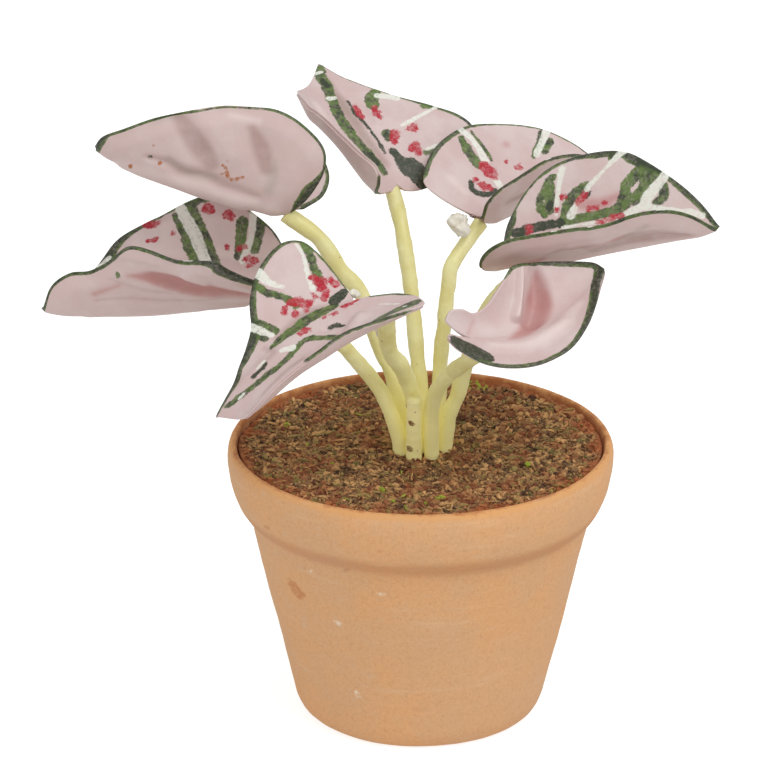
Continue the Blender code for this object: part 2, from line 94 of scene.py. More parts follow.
LEAVES = {
    "upper_left": {
        "notch": (-10.8, 1.8, 43.7), "tip": (-26.7, 4.0, 48.3), "joint": (0.0, 0.1),
        "roll": 0.0, "arch": -8.0,
        "left": half(
            ((0.4, -0.6), (2.4, -1.7), (4.7, -2.4), (6.7, -1.9), (8.2, 0.3), (8.8, 2.6), (8.5, 4.8),
             (7.8, 7.6), (6.6, 10.3), (5.3, 12.6), (3.5, 14.8), (2.0, 16.3)),
            (85, 85, 68), (5, 5, 20),
        ),
        "right": half(
            ((0.5, -1.2), (2.4, -2.4), (4.8, -2.4), (7.0, -0.9), (8.2, 1.6), (8.2, 4.6), (7.2, 7.6),
             (5.6, 10.6), (3.7, 13.4), (1.6, 15.6)),
            (24, 16, 12), (10, 10, 10), (0.5, 1.6, 0.2),
        ),
    },
    "left": {
        "notch": (-13.4, 2.9, 35.8), "tip": (-31.3, 1.4, 35.05), "joint": (0.0, 0.4),
        "roll": 0.0, "arch": -6.0,
        "left": half(
            ((0.5, -1.6), (2.5, -2.6), (5.0, -1.8), (7.1, 0.4), (8.6, 2.3), (9.6, 3.4), (8.9, 5.0),
             (8.2, 6.6), (8.7, 8.7), (8.5, 10.6), (6.4, 12.3), (5.1, 13.9), (4.6, 15.6), (3.0, 17.2)),
            (25, 47, 70), (0, 10, 20),
        ),
        "right": half(
            ((0.6, -2.0), (2.6, -2.7), (4.6, -2.2), (6.2, -1.1), (8.0, 0.8), (9.2, 2.9), (9.3, 4.6),
             (8.8, 6.8), (8.1, 9.1), (6.9, 11.4), (4.2, 13.4), (1.6, 15.7)),
            (60, 38, 25), (10, 0, 0),
        ),
    },
    "front_left": {
        "notch": (-5.6, -7.8, 39.2), "tip": (-16.6, -12.4, 30.9), "joint": (-1.0, -2.2),
        "roll": 10.0, "arch": 38.0,
        "left": half(
            ((0.5, -1.6), (1.5, -3.6), (3.2, -4.7), (5.6, -4.4), (6.9, -2.2), (7.6, 0.5), (7.8, 3.0),
             (7.0, 5.6), (6.3, 8.4), (5.6, 11.0), (4.0, 13.2)),
            (-15, -50, -48), (25, 98, 118),
        ),
        "right": half(
            ((0.5, -0.3), (2.4, -0.1), (4.2, 0.1), (6.0, 0.4), (7.6, 1.0), (8.2, 2.4), (7.2, 4.5), (5.4, 6.3),
             (3.4, 7.6), (2.4, 9.0), (1.6, 10.6), (0.7, 12.2)),
            (40, 40, 0), (0, 0, 0),
        ),
    },
    "top": {
        "notch": (-1.9, 8.9, 43.0), "tip": (-8.6, 20.9, 49.75), "joint": (-0.2, 0.3),
        "roll": 0.0, "arch": 42.0,
        "left": half(
            ((0.5, -0.4), (2.4, -0.8), (4.4, -1.1), (6.2, -1.0), (7.4, -0.1), (7.0, 1.7), (6.8, 3.8),
             (6.9, 6.0), (6.7, 8.2), (5.1, 10.6), (2.4, 12.8)),
            (15, -28, -33), (85, 105, 112),
        ),
        "right": half(
            ((0.5, -0.6), (1.5, -0.8), (2.9, -0.7), (5.0, -0.3), (7.2, 1.2), (8.6, 3.4), (8.0, 5.1),
             (6.2, 6.7), (4.4, 8.1), (2.9, 9.5), (1.6, 11.1), (0.5, 13.2)),
            (5, 5, 5), (0, 0, 0),
        ),
    },
    "back_right": {
        "notch": (4.9, 6.2, 41.3), "tip": (16.1, 15.9, 42.1), "joint": (0.0, 0.1),
        "roll": 0.0, "arch": 8.0,
        "left": half(
            ((0.6, -0.3), (2.0, -1.2), (3.4, -1.9), (4.9, -2.2), (6.2, -1.1), (7.4, 0.9), (8.0, 3.2),
             (8.0, 5.1), (7.4, 7.2), (6.3, 9.8), (5.0, 11.8), (3.0, 13.6)),
            (40, 40, 40), (0, 0, 0),
        ),
        "right": half(
            ((0.6, -0.5), (2.0, -1.0), (3.5, -1.2), (4.8, -0.3), (5.5, 1.4), (6.3, 3.4), (6.2, 5.4),
             (5.1, 8.4), (3.4, 10.6), (1.6, 12.8)),
            (53, 53, 53), (5, 5, 5),
        ),
    },
    "right": {
        "notch": (8.6, -0.7, 40.1), "tip": (24.2, -2.7, 43.75), "joint": (0.0, 0.5),
        "roll": 0.0, "arch": 8.0,
        "left": half(
            ((0.5, -1.8), (1.8, -1.8), (3.2, -1.3), (4.5, -0.4), (5.8, 0.8), (7.1, 2.6), (7.7, 4.6),
             (7.8, 7.2), (7.4, 9.2), (6.3, 10.8), (4.2, 13.1), (2.2, 14.8)),
            (56, 56, 56), (6, 6, 6),
        ),
        "right": half(
            ((0.5, -2.6), (2.3, -3.4), (4.6, -2.7), (6.2, -1.2), (6.8, 0.6), (6.5, 2.8), (6.1, 5.4),
             (5.4, 7.7), (5.6, 10.0), (4.9, 12.5), (2.9, 14.6)),
            (33, 33, 50), (10, 10, 10),
        ),
    },
    "front_right": {
        "notch": (4.2, -11.0, 37.2), "tip": (14.7, -5.7, 41.15), "joint": (0.0, 1.6),
        "roll": 0.0, "arch": -70.0,
        "left": half(
            ((0.9, -2.7), (1.9, -2.5), (2.3, -1.2), (2.2, 0.2), (2.9, 1.6), (4.0, 3.0), (4.8, 4.6),
             (5.5, 6.4), (5.2, 8.5), (4.3, 10.4), (2.9, 12.0), (1.3, 13.1)),
            (60, 50, 40), (110, 30, 0),
        ),
        "right": half(
            ((0.4, -2.4), (1.0, -3.0), (1.9, -2.6), (2.6, -1.6), (3.4, -0.2), (4.0, 1.8), (4.4, 4.0),
             (4.2, 6.4), (3.1, 8.8), (1.7, 10.8), (0.7, 12.0)),
            (-30, -12, -5), (0, 0, 0),
        ),
    },
}

# Brush strokes on the flat patterns, each made of (across, along, width) points. A spot has one point.
# An edge row is (share of the way from the notch round to the tip, width of the painted border), below zero
# where the border has no paint.
PAINT = {
    "upper_left": {
        "edge_left": ((0, 0.3), (0.48, 0.3), (0.52, -0.15), (0.63, -0.15), (0.68, 0.2), (1, 0.3)),
        "edge_right": ((0, 0.3), (1, 0.3)),
    },
    "left": {
        "edge_left": (
            (0, 0.28), (0.24, 0.28), (0.29, 0.7), (0.38, 0.8), (0.43, 0.35), (0.62, 0.28), (0.72, 0.4),
            (0.8, 0.2), (1, 0.25),
        ),
        "edge_right": (
            (0, 0.12), (0.3, 0.12), (0.42, 0.35), (0.52, 0.3), (0.6, 0.2), (0.7, 0.45), (0.8, 0.9),
            (0.86, 1.3), (0.92, 1.2), (1, 0.6),
        ),
        "white": (
            ((8.7, 5.75, 0.8), (7.3, 5.2, 0.93), (5.8, 4.65, 0.93), (4.1, 4.25, 0.85), (2.4, 3.7, 0.6)),
            ((6.9, -0.4, 0.6), (6.0, -0.2, 0.5), (4.8, 0.1, 0.45), (3.9, 0.6, 0.5), (3.1, 1.0, 0.45)),
            ((5.2, 12.1, 0.22), (4.3, 13.0, 0.3)),
        ),
        "green": (
            ((8.2, 6.2, 0.5), (6.7, 5.7, 0.7), (5.2, 5.3, 0.9), (4.2, 5.05, 0.95), (3.0, 4.7, 0.8)),
            ((8.6, 4.9, 0.95), (7.2, 4.5, 0.9), (6.0, 4.05, 0.85), (4.4, 3.65, 0.75), (2.8, 3.1, 0.6)),
            ((9.0, 3.2, 0.5), (9.0, 4.2, 0.5)),
            ((6.4, 0.6, 0.9), (5.3, 0.85, 0.85), (4.3, 1.15, 0.7), (3.6, 1.35, 0.5)),
            ((6.3, -0.9, 0.8), (5.1, -0.65, 0.7), (3.8, -0.1, 0.55)),
        ),
        "red": (
            ((8.2, 3.1, 0.4), (8.25, 3.6, 0.5), (7.8, 3.1, 0.25)),
            ((7.1, 1.4, 0.4), (7.15, 1.85, 0.45), (6.8, 1.6, 0.3)), ((7.9, 7.8, 0.3), (7.9, 8.8, 0.35)),
            ((6.4, 8.1, 0.22), (6.4, 8.7, 0.22)), ((6.6, 6.6, 0.18),), ((4.5, 2.2, 0.3),),
            ((4.2, 0.6, 0.25), (4.2, 1.2, 0.25)), ((3.0, 0.1, 0.5), (3.2, 0.6, 0.45)), ((2.7, 0.5, 0.35),),
        ),
    },
    "front_left": {
        "edge_left": (
            (0, 0.3), (0.12, 0.35), (0.2, -0.2), (0.4, 0.1), (0.46, 0.6), (0.6, 0.6), (0.64, 0.3),
            (0.7, -0.3), (1, -0.3),
        ),
        "edge_right": (
            (0, 0.1), (0.3, 0.18), (0.4, 0.35), (0.55, 0.45), (0.66, 0.6), (0.72, 1.0), (0.79, 0.8),
            (0.84, 0.5), (0.9, 0.8), (0.96, 0.5), (1, 0.3),
        ),
        "white": (
            ((7.5, 1.4, 0.12), (6.1, 1.4, 0.18), (4.4, 1.85, 0.3), (2.8, 2.1, 0.25)),
            ((6.9, 4.75, 0.75), (5.5, 4.5, 0.4), (4.4, 3.9, 0.15)),
            ((3.8, 7.9, 0.6), (2.4, 7.3, 0.55), (1.3, 6.9, 0.35)), ((-1.0, 7.2, 0.35), (-1.5, 6.4, 0.6)),
            ((-0.6, 9.6, 0.22), (-0.5, 8.8, 0.2)),
            ((-2.3, -1.6, 0.1), (-2.9, -2.3, 0.16), (-3.5, -2.9, 0.12)), ((-4.6, -3.0, 0.3),),
            ((-5.6, 2.3, 0.3), (-6.4, 1.6, 0.35)), ((-1.4, 11.8, 0.2), (-1.3, 12.4, 0.2)),
        ),
        "green": (
            ((7.4, 0.8, 0.5), (6.0, 1.0, 0.5), (4.5, 1.2, 0.5), (3.2, 1.4, 0.6)),
            ((6.4, 5.5, 0.5), (4.7, 5.0, 0.45), (3.6, 4.3, 0.45), (2.3, 3.9, 0.6)),
            ((3.9, 8.4, 0.8), (2.6, 7.9, 0.6), (1.5, 7.35, 0.4)),
            ((3.8, 7.4, 0.6), (2.6, 6.85, 0.5), (1.4, 6.4, 0.5)),
            ((0.3, 7.4, 0.5), (0.3, 5.4, 1.0), (0.3, 3.4, 1.15), (0.2, 1.6, 0.8)),
            ((-0.6, 13.6, 0.3), (-1.1, 12.6, 0.4), (-1.6, 11.2, 0.4), (-2.0, 9.4, 0.45), (-2.2, 7.6, 0.5),
             (-1.85, 6.3, 0.45), (-1.7, 4.9, 0.45), (-2.6, 4.0, 0.45), (-3.8, 3.2, 0.5), (-5.4, 2.5, 0.6)),
            ((-6.2, 0.6, 0.8), (-5.4, -0.8, 1.1), (-5.1, -2.0, 1.2), (-4.8, -3.2, 1.3), (-4.4, -4.1, 1.0)),
        ),
        "red": (
            ((3.9, 1.7, 0.35), (3.4, 1.5, 0.5)), ((3.0, 1.2, 0.6), (2.5, 1.5, 0.6)),
            ((2.0, 1.3, 0.5), (1.6, 1.7, 0.4)), ((2.3, 0.5, 0.4), (2.8, 0.6, 0.4)),
            ((1.9, 3.0, 0.5), (2.2, 3.4, 0.65)), ((2.6, 3.8, 0.7), (2.8, 4.1, 0.4)), ((2.2, 2.3, 0.35),),
            ((2.6, 4.8, 0.35), (2.2, 5.0, 0.25)), ((1.7, 4.3, 0.4),), ((1.4, 3.6, 0.3),),
            ((-0.5, 1.0, 0.25), (-0.5, -0.3, 0.2)), ((-0.9, 1.8, 0.4),), ((-0.6, 2.8, 0.2),),
            ((-0.8, 4.6, 0.5), (-0.7, 5.0, 0.45)),
        ),
        "dark": (
            ((1.3, 0.2, 0.7), (0.9, 1.1, 1.0)), ((-1.9, 3.0, 0.2), (-2.0, 2.4, 0.22), (-2.7, 1.9, 0.2)),
            ((-0.9, 10.3, 0.28), (-0.95, 8.8, 0.15)),
        ),
    },
    "top": {
        "edge_left": ((0, -0.3), (0.14, 0.1), (0.3, 0.1), (0.36, -0.3), (1, -0.3)),
        "edge_right": (
            (0, -0.3), (0.2, -0.2), (0.26, 0.3), (0.35, 0.3), (0.5, 0.35), (0.6, 0.3), (0.75, 0.15), (1, 0.1),
        ),
        "white": (
            ((2.2, 9.1, 0.5), (3.6, 8.4, 0.65)), ((6.3, 6.35, 0.25), (4.6, 5.9, 0.22), (2.7, 5.4, 0.3)),
            ((3.8, 2.6, 0.22), (4.9, 2.75, 0.26)), ((-1.8, 10.2, 0.55), (-1.4, 10.15, 0.4)),
            ((-1.2, 14.0, 0.4), (-0.7, 14.0, 0.4)),
        ),
        "green": (
            ((2.2, 9.5, 0.8), (1.6, 9.0, 1.1), (1.3, 8.3, 1.1), (1.1, 7.6, 0.5)),
            ((5.3, 6.7, 0.3), (5.9, 6.6, 0.5)), ((1.1, 4.9, 0.8), (0.9, 4.4, 0.5)),
            ((3.6, 2.3, 0.3), (5.0, 2.4, 0.3)),
            ((-0.4, 14.8, 0.7), (-0.7, 14.2, 1.0), (-1.0, 13.3, 0.85), (-1.25, 11.6, 0.8), (-1.65, 10.3, 0.8),
             (-2.0, 8.4, 0.85), (-2.1, 7.0, 0.9), (-2.1, 5.8, 0.9), (-1.9, 4.6, 0.9), (-1.3, 2.8, 0.8),
             (-0.7, 1.3, 0.6)),
        ),
        "red": (
            ((1.3, 7.9, 0.4), (1.15, 7.3, 0.45), (1.1, 6.7, 0.35)), ((1.8, 4.8, 0.5), (1.4, 4.1, 0.5)),
            ((3.1, 4.9, 0.5), (3.6, 4.9, 0.45)), ((2.5, 3.0, 0.5), (3.0, 3.1, 0.65)), ((2.9, 2.4, 0.35),),
            ((-0.3, 8.6, 0.25), (-0.2, 7.2, 0.2)),
        ),
        "dark": (
            # The first two strokes are a thin dark line along the crease: painted shade.
            ((-0.5, 9.2, 0.12), (-0.6, 7.8, 0.15), (-0.3, 6.2, 0.12), (0.0, 4.4, 0.12)),
            ((0.0, 4.4, 0.12), (0.1, 3.2, 0.12)), ((0.8, 3.2, 0.5), (1.1, 2.2, 0.8), (1.3, 1.0, 0.9)),
            ((1.9, 1.6, 1.2), (2.3, 0.4, 1.7), (2.9, -0.6, 1.5)), ((-1.1, 12.9, 0.35), (-1.2, 11.8, 0.4)),
            ((-1.35, 3.2, 0.35), (-1.0, 2.2, 0.4)),
        ),
    },
    "back_right": {
        "edge_left": (
            (0, -0.3), (0.25, -0.2), (0.3, 0.35), (0.5, 0.4), (0.58, 0.25), (0.64, 0.18), (1, 0.17),
        ),
        "edge_right": ((0, 0.5), (0.2, 0.55), (0.45, 0.55), (0.6, 0.6), (0.8, 0.45), (1, 0.25)),
        "white": (
            ((-8.0, 3.95, 0.5), (-6.8, 4.3, 0.45), (-5.65, 4.3, 0.5), (-4.45, 4.2, 0.6)),
            ((-2.5, 3.9, 0.4), (-1.9, 3.9, 0.55)), ((-5.3, 11.6, 0.6), (-4.3, 10.3, 0.5), (-3.4, 9.05, 0.45)),
            ((-2.6, 2.2, 0.3),),
        ),
        "green": (
            ((-7.2, 3.45, 0.4), (-6.25, 3.3, 0.8), (-5.35, 3.25, 0.85), (-4.4, 3.3, 0.6)),
            ((-7.4, 4.7, 0.2), (-5.6, 4.8, 0.18), (-4.4, 4.75, 0.2)),
            ((-5.2, 10.8, 0.35), (-4.1, 9.7, 0.35), (-3.3, 8.6, 0.25)),
            ((-4.2, 11.2, 0.5), (-3.5, 10.0, 0.6)),
        ),
        "red": (
            ((-3.9, 3.8, 0.9), (-3.3, 3.9, 1.0)), ((-2.9, 6.4, 0.35), (-2.9, 6.8, 0.35)),
            ((-3.8, 6.0, 0.15),), ((-3.3, 2.2, 0.4),), ((-2.2, 2.8, 0.5), (-2.5, 2.5, 0.6)),
        ),
        "dark": (
            ((-3.3, 1.7, 0.35), (-2.6, 1.4, 0.4), (-1.9, 1.8, 0.45), (-1.6, 2.5, 0.4), (-1.7, 3.2, 0.3)),
        ),
    },
    "right": {
        "edge_left": (
            (0, 0.5), (0.1, 0.5), (0.2, 0.6), (0.26, 0.15), (0.36, 0.15), (0.42, 0.25), (0.52, 0.25),
            (0.57, 0.5), (0.66, 0.5), (0.7, 0.8), (0.75, 0.7), (0.8, 0.35), (0.86, 0.5), (1, 0.4),
        ),
        "edge_right": ((0, 0.2), (0.2, 0.2), (0.3, 0.14), (1, 0.14)),
        "white": (
            ((-7.0, 4.1, 0.5), (-6.15, 3.7, 0.35), (-4.75, 3.3, 0.3), (-4.0, 3.05, 0.25), (-3.3, 2.95, 0.2)),
            ((-7.6, 9.2, 0.55), (-6.75, 8.0, 0.25), (-5.9, 6.95, 0.22), (-5.25, 6.0, 0.3),
             (-4.9, 5.75, 0.35)), ((-4.4, 5.2, 0.15), (-3.9, 4.8, 0.2), (-3.35, 4.3, 0.6), (-3.0, 4.1, 0.55)),
            ((-5.2, 12.3, 0.6), (-4.15, 11.25, 0.75), (-3.4, 10.5, 0.8), (-2.7, 9.9, 0.6), (-2.3, 8.8, 0.5),
             (-2.1, 7.75, 0.35), (-2.0, 6.4, 0.3), (-2.1, 4.8, 0.2), (-2.15, 3.3, 0.15)),
            ((-2.6, 10.2, 0.5), (-2.25, 11.4, 0.5), (-1.8, 12.7, 0.5), (-1.6, 13.9, 0.45),
             (-1.2, 14.75, 0.4)),
        ),
        "green": (
            ((-6.5, 3.25, 0.4), (-5.85, 2.55, 0.45), (-5.05, 2.0, 0.5), (-4.25, 1.75, 0.45),
             (-3.5, 2.0, 0.35)), ((-5.85, 2.95, 0.6), (-4.95, 2.7, 0.75), (-4.1, 2.5, 0.7), (-3.8, 2.7, 0.4)),
            ((-7.5, 8.4, 0.7), (-7.1, 8.0, 0.3)),
            ((-5.4, 5.85, 0.4), (-5.0, 5.15, 0.6), (-4.5, 4.4, 0.65), (-3.75, 3.9, 0.7), (-3.0, 3.6, 0.7),
             (-2.5, 3.15, 0.5)),
            ((-6.2, 10.8, 1.5), (-5.6, 11.0, 1.6), (-4.9, 10.6, 1.0), (-4.2, 10.2, 0.7), (-3.4, 9.5, 0.9)),
            ((-5.6, 10.0, 0.9), (-4.6, 8.9, 0.7), (-3.6, 8.7, 1.0), (-3.0, 8.2, 0.9), (-2.7, 7.4, 0.7)),
            ((-2.65, 7.4, 0.7), (-2.6, 5.6, 0.7), (-2.6, 3.7, 0.6)),
            ((-4.1, 11.9, 0.6), (-3.3, 11.75, 0.8), (-2.85, 11.2, 0.6)),
        ),
        "red": (
            ((-4.5, 5.5, 0.2), (-4.2, 5.1, 0.25)), ((-3.9, 4.9, 0.2),), ((-4.7, 3.75, 0.35),),
            ((-3.7, 3.05, 0.2),), ((-3.3, 5.7, 0.2), (-3.2, 6.3, 0.15)), ((-3.5, 7.0, 0.15),),
            ((-2.0, 6.1, 0.2), (-2.1, 7.2, 0.25), (-2.25, 8.3, 0.2)), ((-2.7, 0.6, 0.5), (-2.5, 0.6, 0.4)),
        ),
        "dark": (
            ((-2.6, -0.6, 0.7), (-2.65, 1.0, 0.7), (-2.6, 3.1, 0.6)), ((-4.3, 2.6, 0.45), (-4.1, 2.5, 0.4)),
            ((-5.9, 11.5, 0.8), (-5.4, 11.7, 0.5)), ((-4.6, 5.8, 0.25), (-4.3, 5.6, 0.2)),
        ),
    },
    "front_right": {
        "edge_left": ((0, -0.3), (0.45, -0.3), (0.55, 0.25), (0.7, 0.25), (0.8, 0.5), (1, 0.5)),
        "edge_right": ((0, -0.3), (0.25, -0.2), (0.35, 0.25), (0.6, 0.3), (0.7, 0.45), (0.85, 0.8), (1, 0.9)),
        "dark": (((1.4, -2.2, 1.3), (2.1, -1.2, 1.9), (2.6, -0.1, 1.3)),),
    },
}

# Soft tones on the painted face, as strokes: shade is a brown painted shade in creases and channels, the deep
# pink tone is a painted shade in folds and recesses, and light is a pale painted highlight on swellings and on
# faces that other leaves shade.
TONES = {
    "left": {"light": (((6.4, 9.0, 3.4), (6.0, 5.0, 4.6), (5.0, 1.0, 4.0), (4.0, -1.0, 3.0)),)},
    "front_left": {
        "shade": (
            ((0.7, 6.6, 1.4), (0.8, 5.0, 1.8), (0.9, 3.4, 1.8), (0.6, 2.0, 1.4)),
            ((-0.5, 9.4, 1.0), (-0.6, 7.8, 1.2), (0.8, 8.0, 1.0)),
            ((-3.4, 9.0, 1.0), (-3.6, 6.5, 1.2), (-3.4, 11.0, 0.8)),
        ),
    },
    "top": {
        "shade": (
            ((-0.8, 12.8, 1.1), (-1.1, 10.0, 1.5), (-1.2, 8.0, 1.8), (-1.1, 6.0, 1.8), (-0.8, 4.0, 1.6),
             (-0.3, 2.0, 1.4)),
        ),
        # Grey-green in the channel: painted shade.
        "grey": (((-0.9, 12.0, 0.8), (-1.0, 9.0, 1.3), (-1.0, 6.0, 1.4), (-0.7, 3.6, 1.2)),),
        "light": (((-3.6, 9.5, 1.4), (-3.8, 6.0, 1.6), (-3.2, 3.5, 1.2)),),
    },
    "back_right": {
        "pink_shade": (((-5.2, 7.0, 1.2),),),
        "light": (((-2.6, 0.6, 1.2), (-4.2, 0.2, 1.4)),),
    },
    "right": {"pink_shade": (((-3.9, 8.2, 1.2), (-3.5, 6.8, 1.8), (-3.7, 5.4, 1.8), (-4.3, 4.4, 1.0)),)},
    "front_right": {
        "pink_shade": (
            ((-4.0, 9.0, 1.2), (-2.9, 8.1, 2.2), (-1.8, 7.2, 3.0), (-0.9, 6.2, 2.8), (-0.1, 5.0, 2.2),
             (0.3, 3.9, 1.8), (0.5, 3.0, 0.9)), ((0.0, 4.1, 0.6), (0.1, 2.2, 0.5), (0.0, 0.4, 0.4)),
            ((-0.4, -0.4, 0.8), (-1.6, 0.2, 0.7)),
        ),
        "light": (
            ((-5.2, 7.2, 1.1), (-3.9, 6.3, 1.2), (-2.7, 5.4, 1.3), (-1.6, 4.6, 1.2)),
            ((1.0, 1.0, 1.6), (1.6, 4.0, 2.0), (1.4, 7.0, 2.0), (0.6, 9.6, 1.6)),
        ),
    },
}

# What shows from below: paint, tones of painted shade and painted highlight, and the width of the border's
# paint that wraps round the edge.
UNDERSIDES = {
    "upper_left": {
        "rust": (
            ((-3.1, 6.0, 0.26),), ((-2.95, 5.7, 0.3),), ((-2.6, 5.5, 0.3),), ((-2.3, 5.4, 0.36),),
            ((-2.1, 5.0, 0.32),), ((-2.3, 4.55, 0.36),), ((-2.55, 4.15, 0.28),), ((-2.3, 5.9, 0.22),),
            ((-0.75, 13.3, 0.32),), ((-1.65, 11.1, 0.3),), ((-3.1, 12.0, 0.22),), ((-3.6, 5.7, 0.2),),
        ),
        # A dark spot in the pit: painted shade.
        "dark": (((-1.9, 12.0, 0.25),),),
        "shade": (
            ((-1.9, 12.0, 0.8), (-1.9, 10.6, 0.9), (-1.5, 9.2, 1.1), (-1.7, 7.6, 0.9), (-1.3, 5.6, 0.9),
             (-1.2, 3.0, 0.6)), ((-6.6, 11.4, 1.6), (-5.0, 9.4, 2.4), (-3.8, 8.0, 2.6), (-3.0, 7.0, 2.0)),
            ((-6.8, 4.4, 1.4), (-5.4, 3.2, 2.2), (-3.8, 2.4, 1.8)),
        ),
        "grey": (
            ((-5.0, 13.0, 0.8), (-5.8, 11.6, 1.5), (-6.2, 10.6, 1.0)),
            ((-4.6, 1.8, 1.0), (-3.2, 1.7, 1.6), (-2.0, 1.8, 1.5)),
            ((-2.4, 10.5, 1.2), (-1.6, 8.6, 1.2), (-1.8, 6.4, 1.2)),
        ),
        "light": (
            ((-0.4, 14.4, 1.6), (-0.2, 11.0, 2.2), (-0.2, 7.0, 2.4), (-0.2, 3.0, 2.4), (-0.2, 1.0, 2.4)),
            ((-7.4, 6.5, 1.2), (-7.6, 4.0, 1.2)),
        ),
        "edge_left": (
            (0, 0.3), (0.04, 0.7), (0.09, 0.9), (0.13, 0.5), (0.17, 0.15), (0.4, 0.1), (0.48, 0.02),
            (0.66, 0.02), (0.72, 0.1), (0.88, 0.08), (0.93, 0.5), (1, 0.5),
        ),
        "edge_right": ((0, 0.3), (0.05, 0.8), (0.25, 0.8), (0.33, 0.1), (1, 0.1)),
    },
    "left": {
        "green": (((-5.6, 11.5, 0.18), (-5.3, 11.45, 0.14)),),
        "pink_shade": (
            ((-5.6, 10.6, 1.0), (-5.7, 8.8, 2.2), (-5.3, 7.0, 3.2), (-4.8, 5.2, 3.6), (-4.3, 3.4, 3.4),
             (-3.8, 1.4, 2.6), (-3.2, -0.5, 1.6)), ((-4.2, 11.5, 1.0), (-3.0, 13.5, 1.2)),
        ),
        "shade": (
            ((-2.1, 13.4, 0.4), (-2.4, 10.2, 0.7), (-2.2, 6.4, 0.8), (-2.8, 3.0, 0.8)),
            ((-4.8, 11.8, 0.4), (-3.8, 9.6, 0.6), (-3.6, 7.0, 0.7), (-4.2, 4.4, 0.6)),
            ((-5.9, 9.0, 1.6), (-5.4, 7.2, 2.6), (-4.9, 5.4, 3.0), (-4.4, 3.6, 2.8), (-3.8, 1.6, 2.0)),
        ),
        "light": (((0.4, 14.6, 1.4), (0.2, 11.0, 1.6), (0.0, 7.0, 1.4), (0.2, 3.0, 1.0)),),
        "grey": (((-6.8, 12.2, 0.8), (-7.4, 10.0, 0.8), (-7.4, 8.0, 0.8)),),
        "edge_left": (
            (0, 0.1), (0.17, 0.25), (0.22, 0.7), (0.3, 1.0), (0.37, 0.7), (0.42, 0.2), (0.6, 0.12),
            (0.75, 0.2), (1, 0.1),
        ),
    },
    "front_left": {
        "shade": (((-2.0, 9.0, 0.8), (-3.4, 7.0, 1.2)),),
        "light": (((-2.5, 6.0, 1.2),),),
    },
    "top": {"light": (((-4.6, 11.0, 1.6), (-4.4, 7.0, 1.8), (-3.6, 4.0, 1.6)),)},
    "right": {
        "shade": (
            ((1.0, 14.0, 1.0), (2.0, 11.2, 2.6), (2.4, 9.2, 2.8), (1.8, 6.0, 1.8)),
            ((3.0, 7.4, 1.2), (3.6, 4.4, 1.4), (3.0, 2.2, 0.8)),
        ),
        "pink_shade": (((2.2, 1.6, 1.6), (1.8, 0.0, 1.8), (2.2, -1.6, 1.6)), ((3.4, 9.4, 1.0), (2.6, 5.4, 1.2))),
        # Grey-green here is painted shade.
        "grey": (((4.0, 10.6, 1.4), (3.2, 9.0, 1.6)),),
        "light": (((1.4, -0.8, 2.2), (2.2, -2.2, 2.4)),),
        "edge_right": ((0, 0.15), (0.25, 0.16), (0.3, 0.08), (1, 0.08)),
    },
    "back_right": {"shade": (((3.0, 1.0, 1.4), (3.2, 5.0, 1.6), (2.2, 9.0, 1.2)),)},
}

# Folds of the clay: (height, stroke) with height above zero for a swelling of that side.
FOLDS_ABOVE = {
    "front_right": (
        (0.7, ((-5.2, 7.2, 1.4), (-3.9, 6.3, 1.3), (-2.7, 5.4, 1.4), (-1.6, 4.6, 1.5))),
        (-0.85, ((-4.4, 9.0, 1.8), (-3.0, 7.9, 2.8), (-2.0, 7.0, 3.0), (-0.8, 5.6, 2.4))),
        (0.35, ((1.3, 1.0, 2.0), (1.8, 4.0, 2.4), (1.4, 7.5, 2.4))),
    ),
    "front_left": (
        (0.3, ((-3.0, 0.4, 2.0), (-4.0, 1.6, 2.0))), (-0.25, ((-1.9, 3.2, 1.2), (-2.6, 1.8, 1.2))),
    ),
    "top": ((0.25, ((0.9, 7.6, 1.6), (0.8, 6.2, 1.4))),),
}
FOLDS_BELOW = {
    "upper_left": (
        (-0.28, ((-1.9, 12.2, 1.0), (-1.9, 10.6, 1.4), (-1.5, 9.0, 1.9), (-1.7, 7.2, 1.6), (-1.3, 5.2, 1.8),
         (-1.2, 2.6, 1.2))), (0.25, ((-0.2, 14.0, 1.8), (-0.2, 9.0, 2.4), (-0.2, 4.0, 2.6))),
        (0.22, ((-6.8, 9.2, 3.0), (-5.2, 7.0, 4.2), (-4.2, 5.6, 3.6))),
        (-0.22, ((-6.4, 11.8, 3.0), (-4.8, 9.8, 3.6), (-3.6, 8.4, 3.4))),
        (-0.18, ((-6.8, 4.2, 3.0), (-5.4, 3.0, 4.0), (-3.8, 2.0, 3.2))), (-0.2, ((-1.9, 12.0, 0.6),)),
    ),
    "left": (
        (-0.45, ((-6.2, 8.6, 1.6), (-5.5, 7.0, 2.8), (-4.7, 5.2, 3.0), (-4.1, 3.2, 3.0), (-3.4, 1.0, 2.2))),
        (0.25, ((-6.6, 5.8, 1.4), (-6.2, 4.4, 1.6))),
        (-0.16, ((-2.1, 13.4, 0.8), (-2.5, 10.0, 1.0), (-2.2, 6.4, 1.0))),
        (-0.14, ((-4.8, 12.0, 0.8), (-3.9, 9.6, 1.0), (-3.6, 7.0, 1.0))),
        (0.2, ((0.3, 14.0, 1.8), (0.1, 9.0, 1.8), (0.2, 5.0, 1.4))),
    ),
    "right": (
        (-0.2, ((1.2, 13.6, 1.0), (2.0, 10.6, 1.6), (2.2, 8.6, 1.4))),
        (0.2, ((3.2, 7.0, 1.8), (3.6, 4.6, 1.8))),
    ),
}

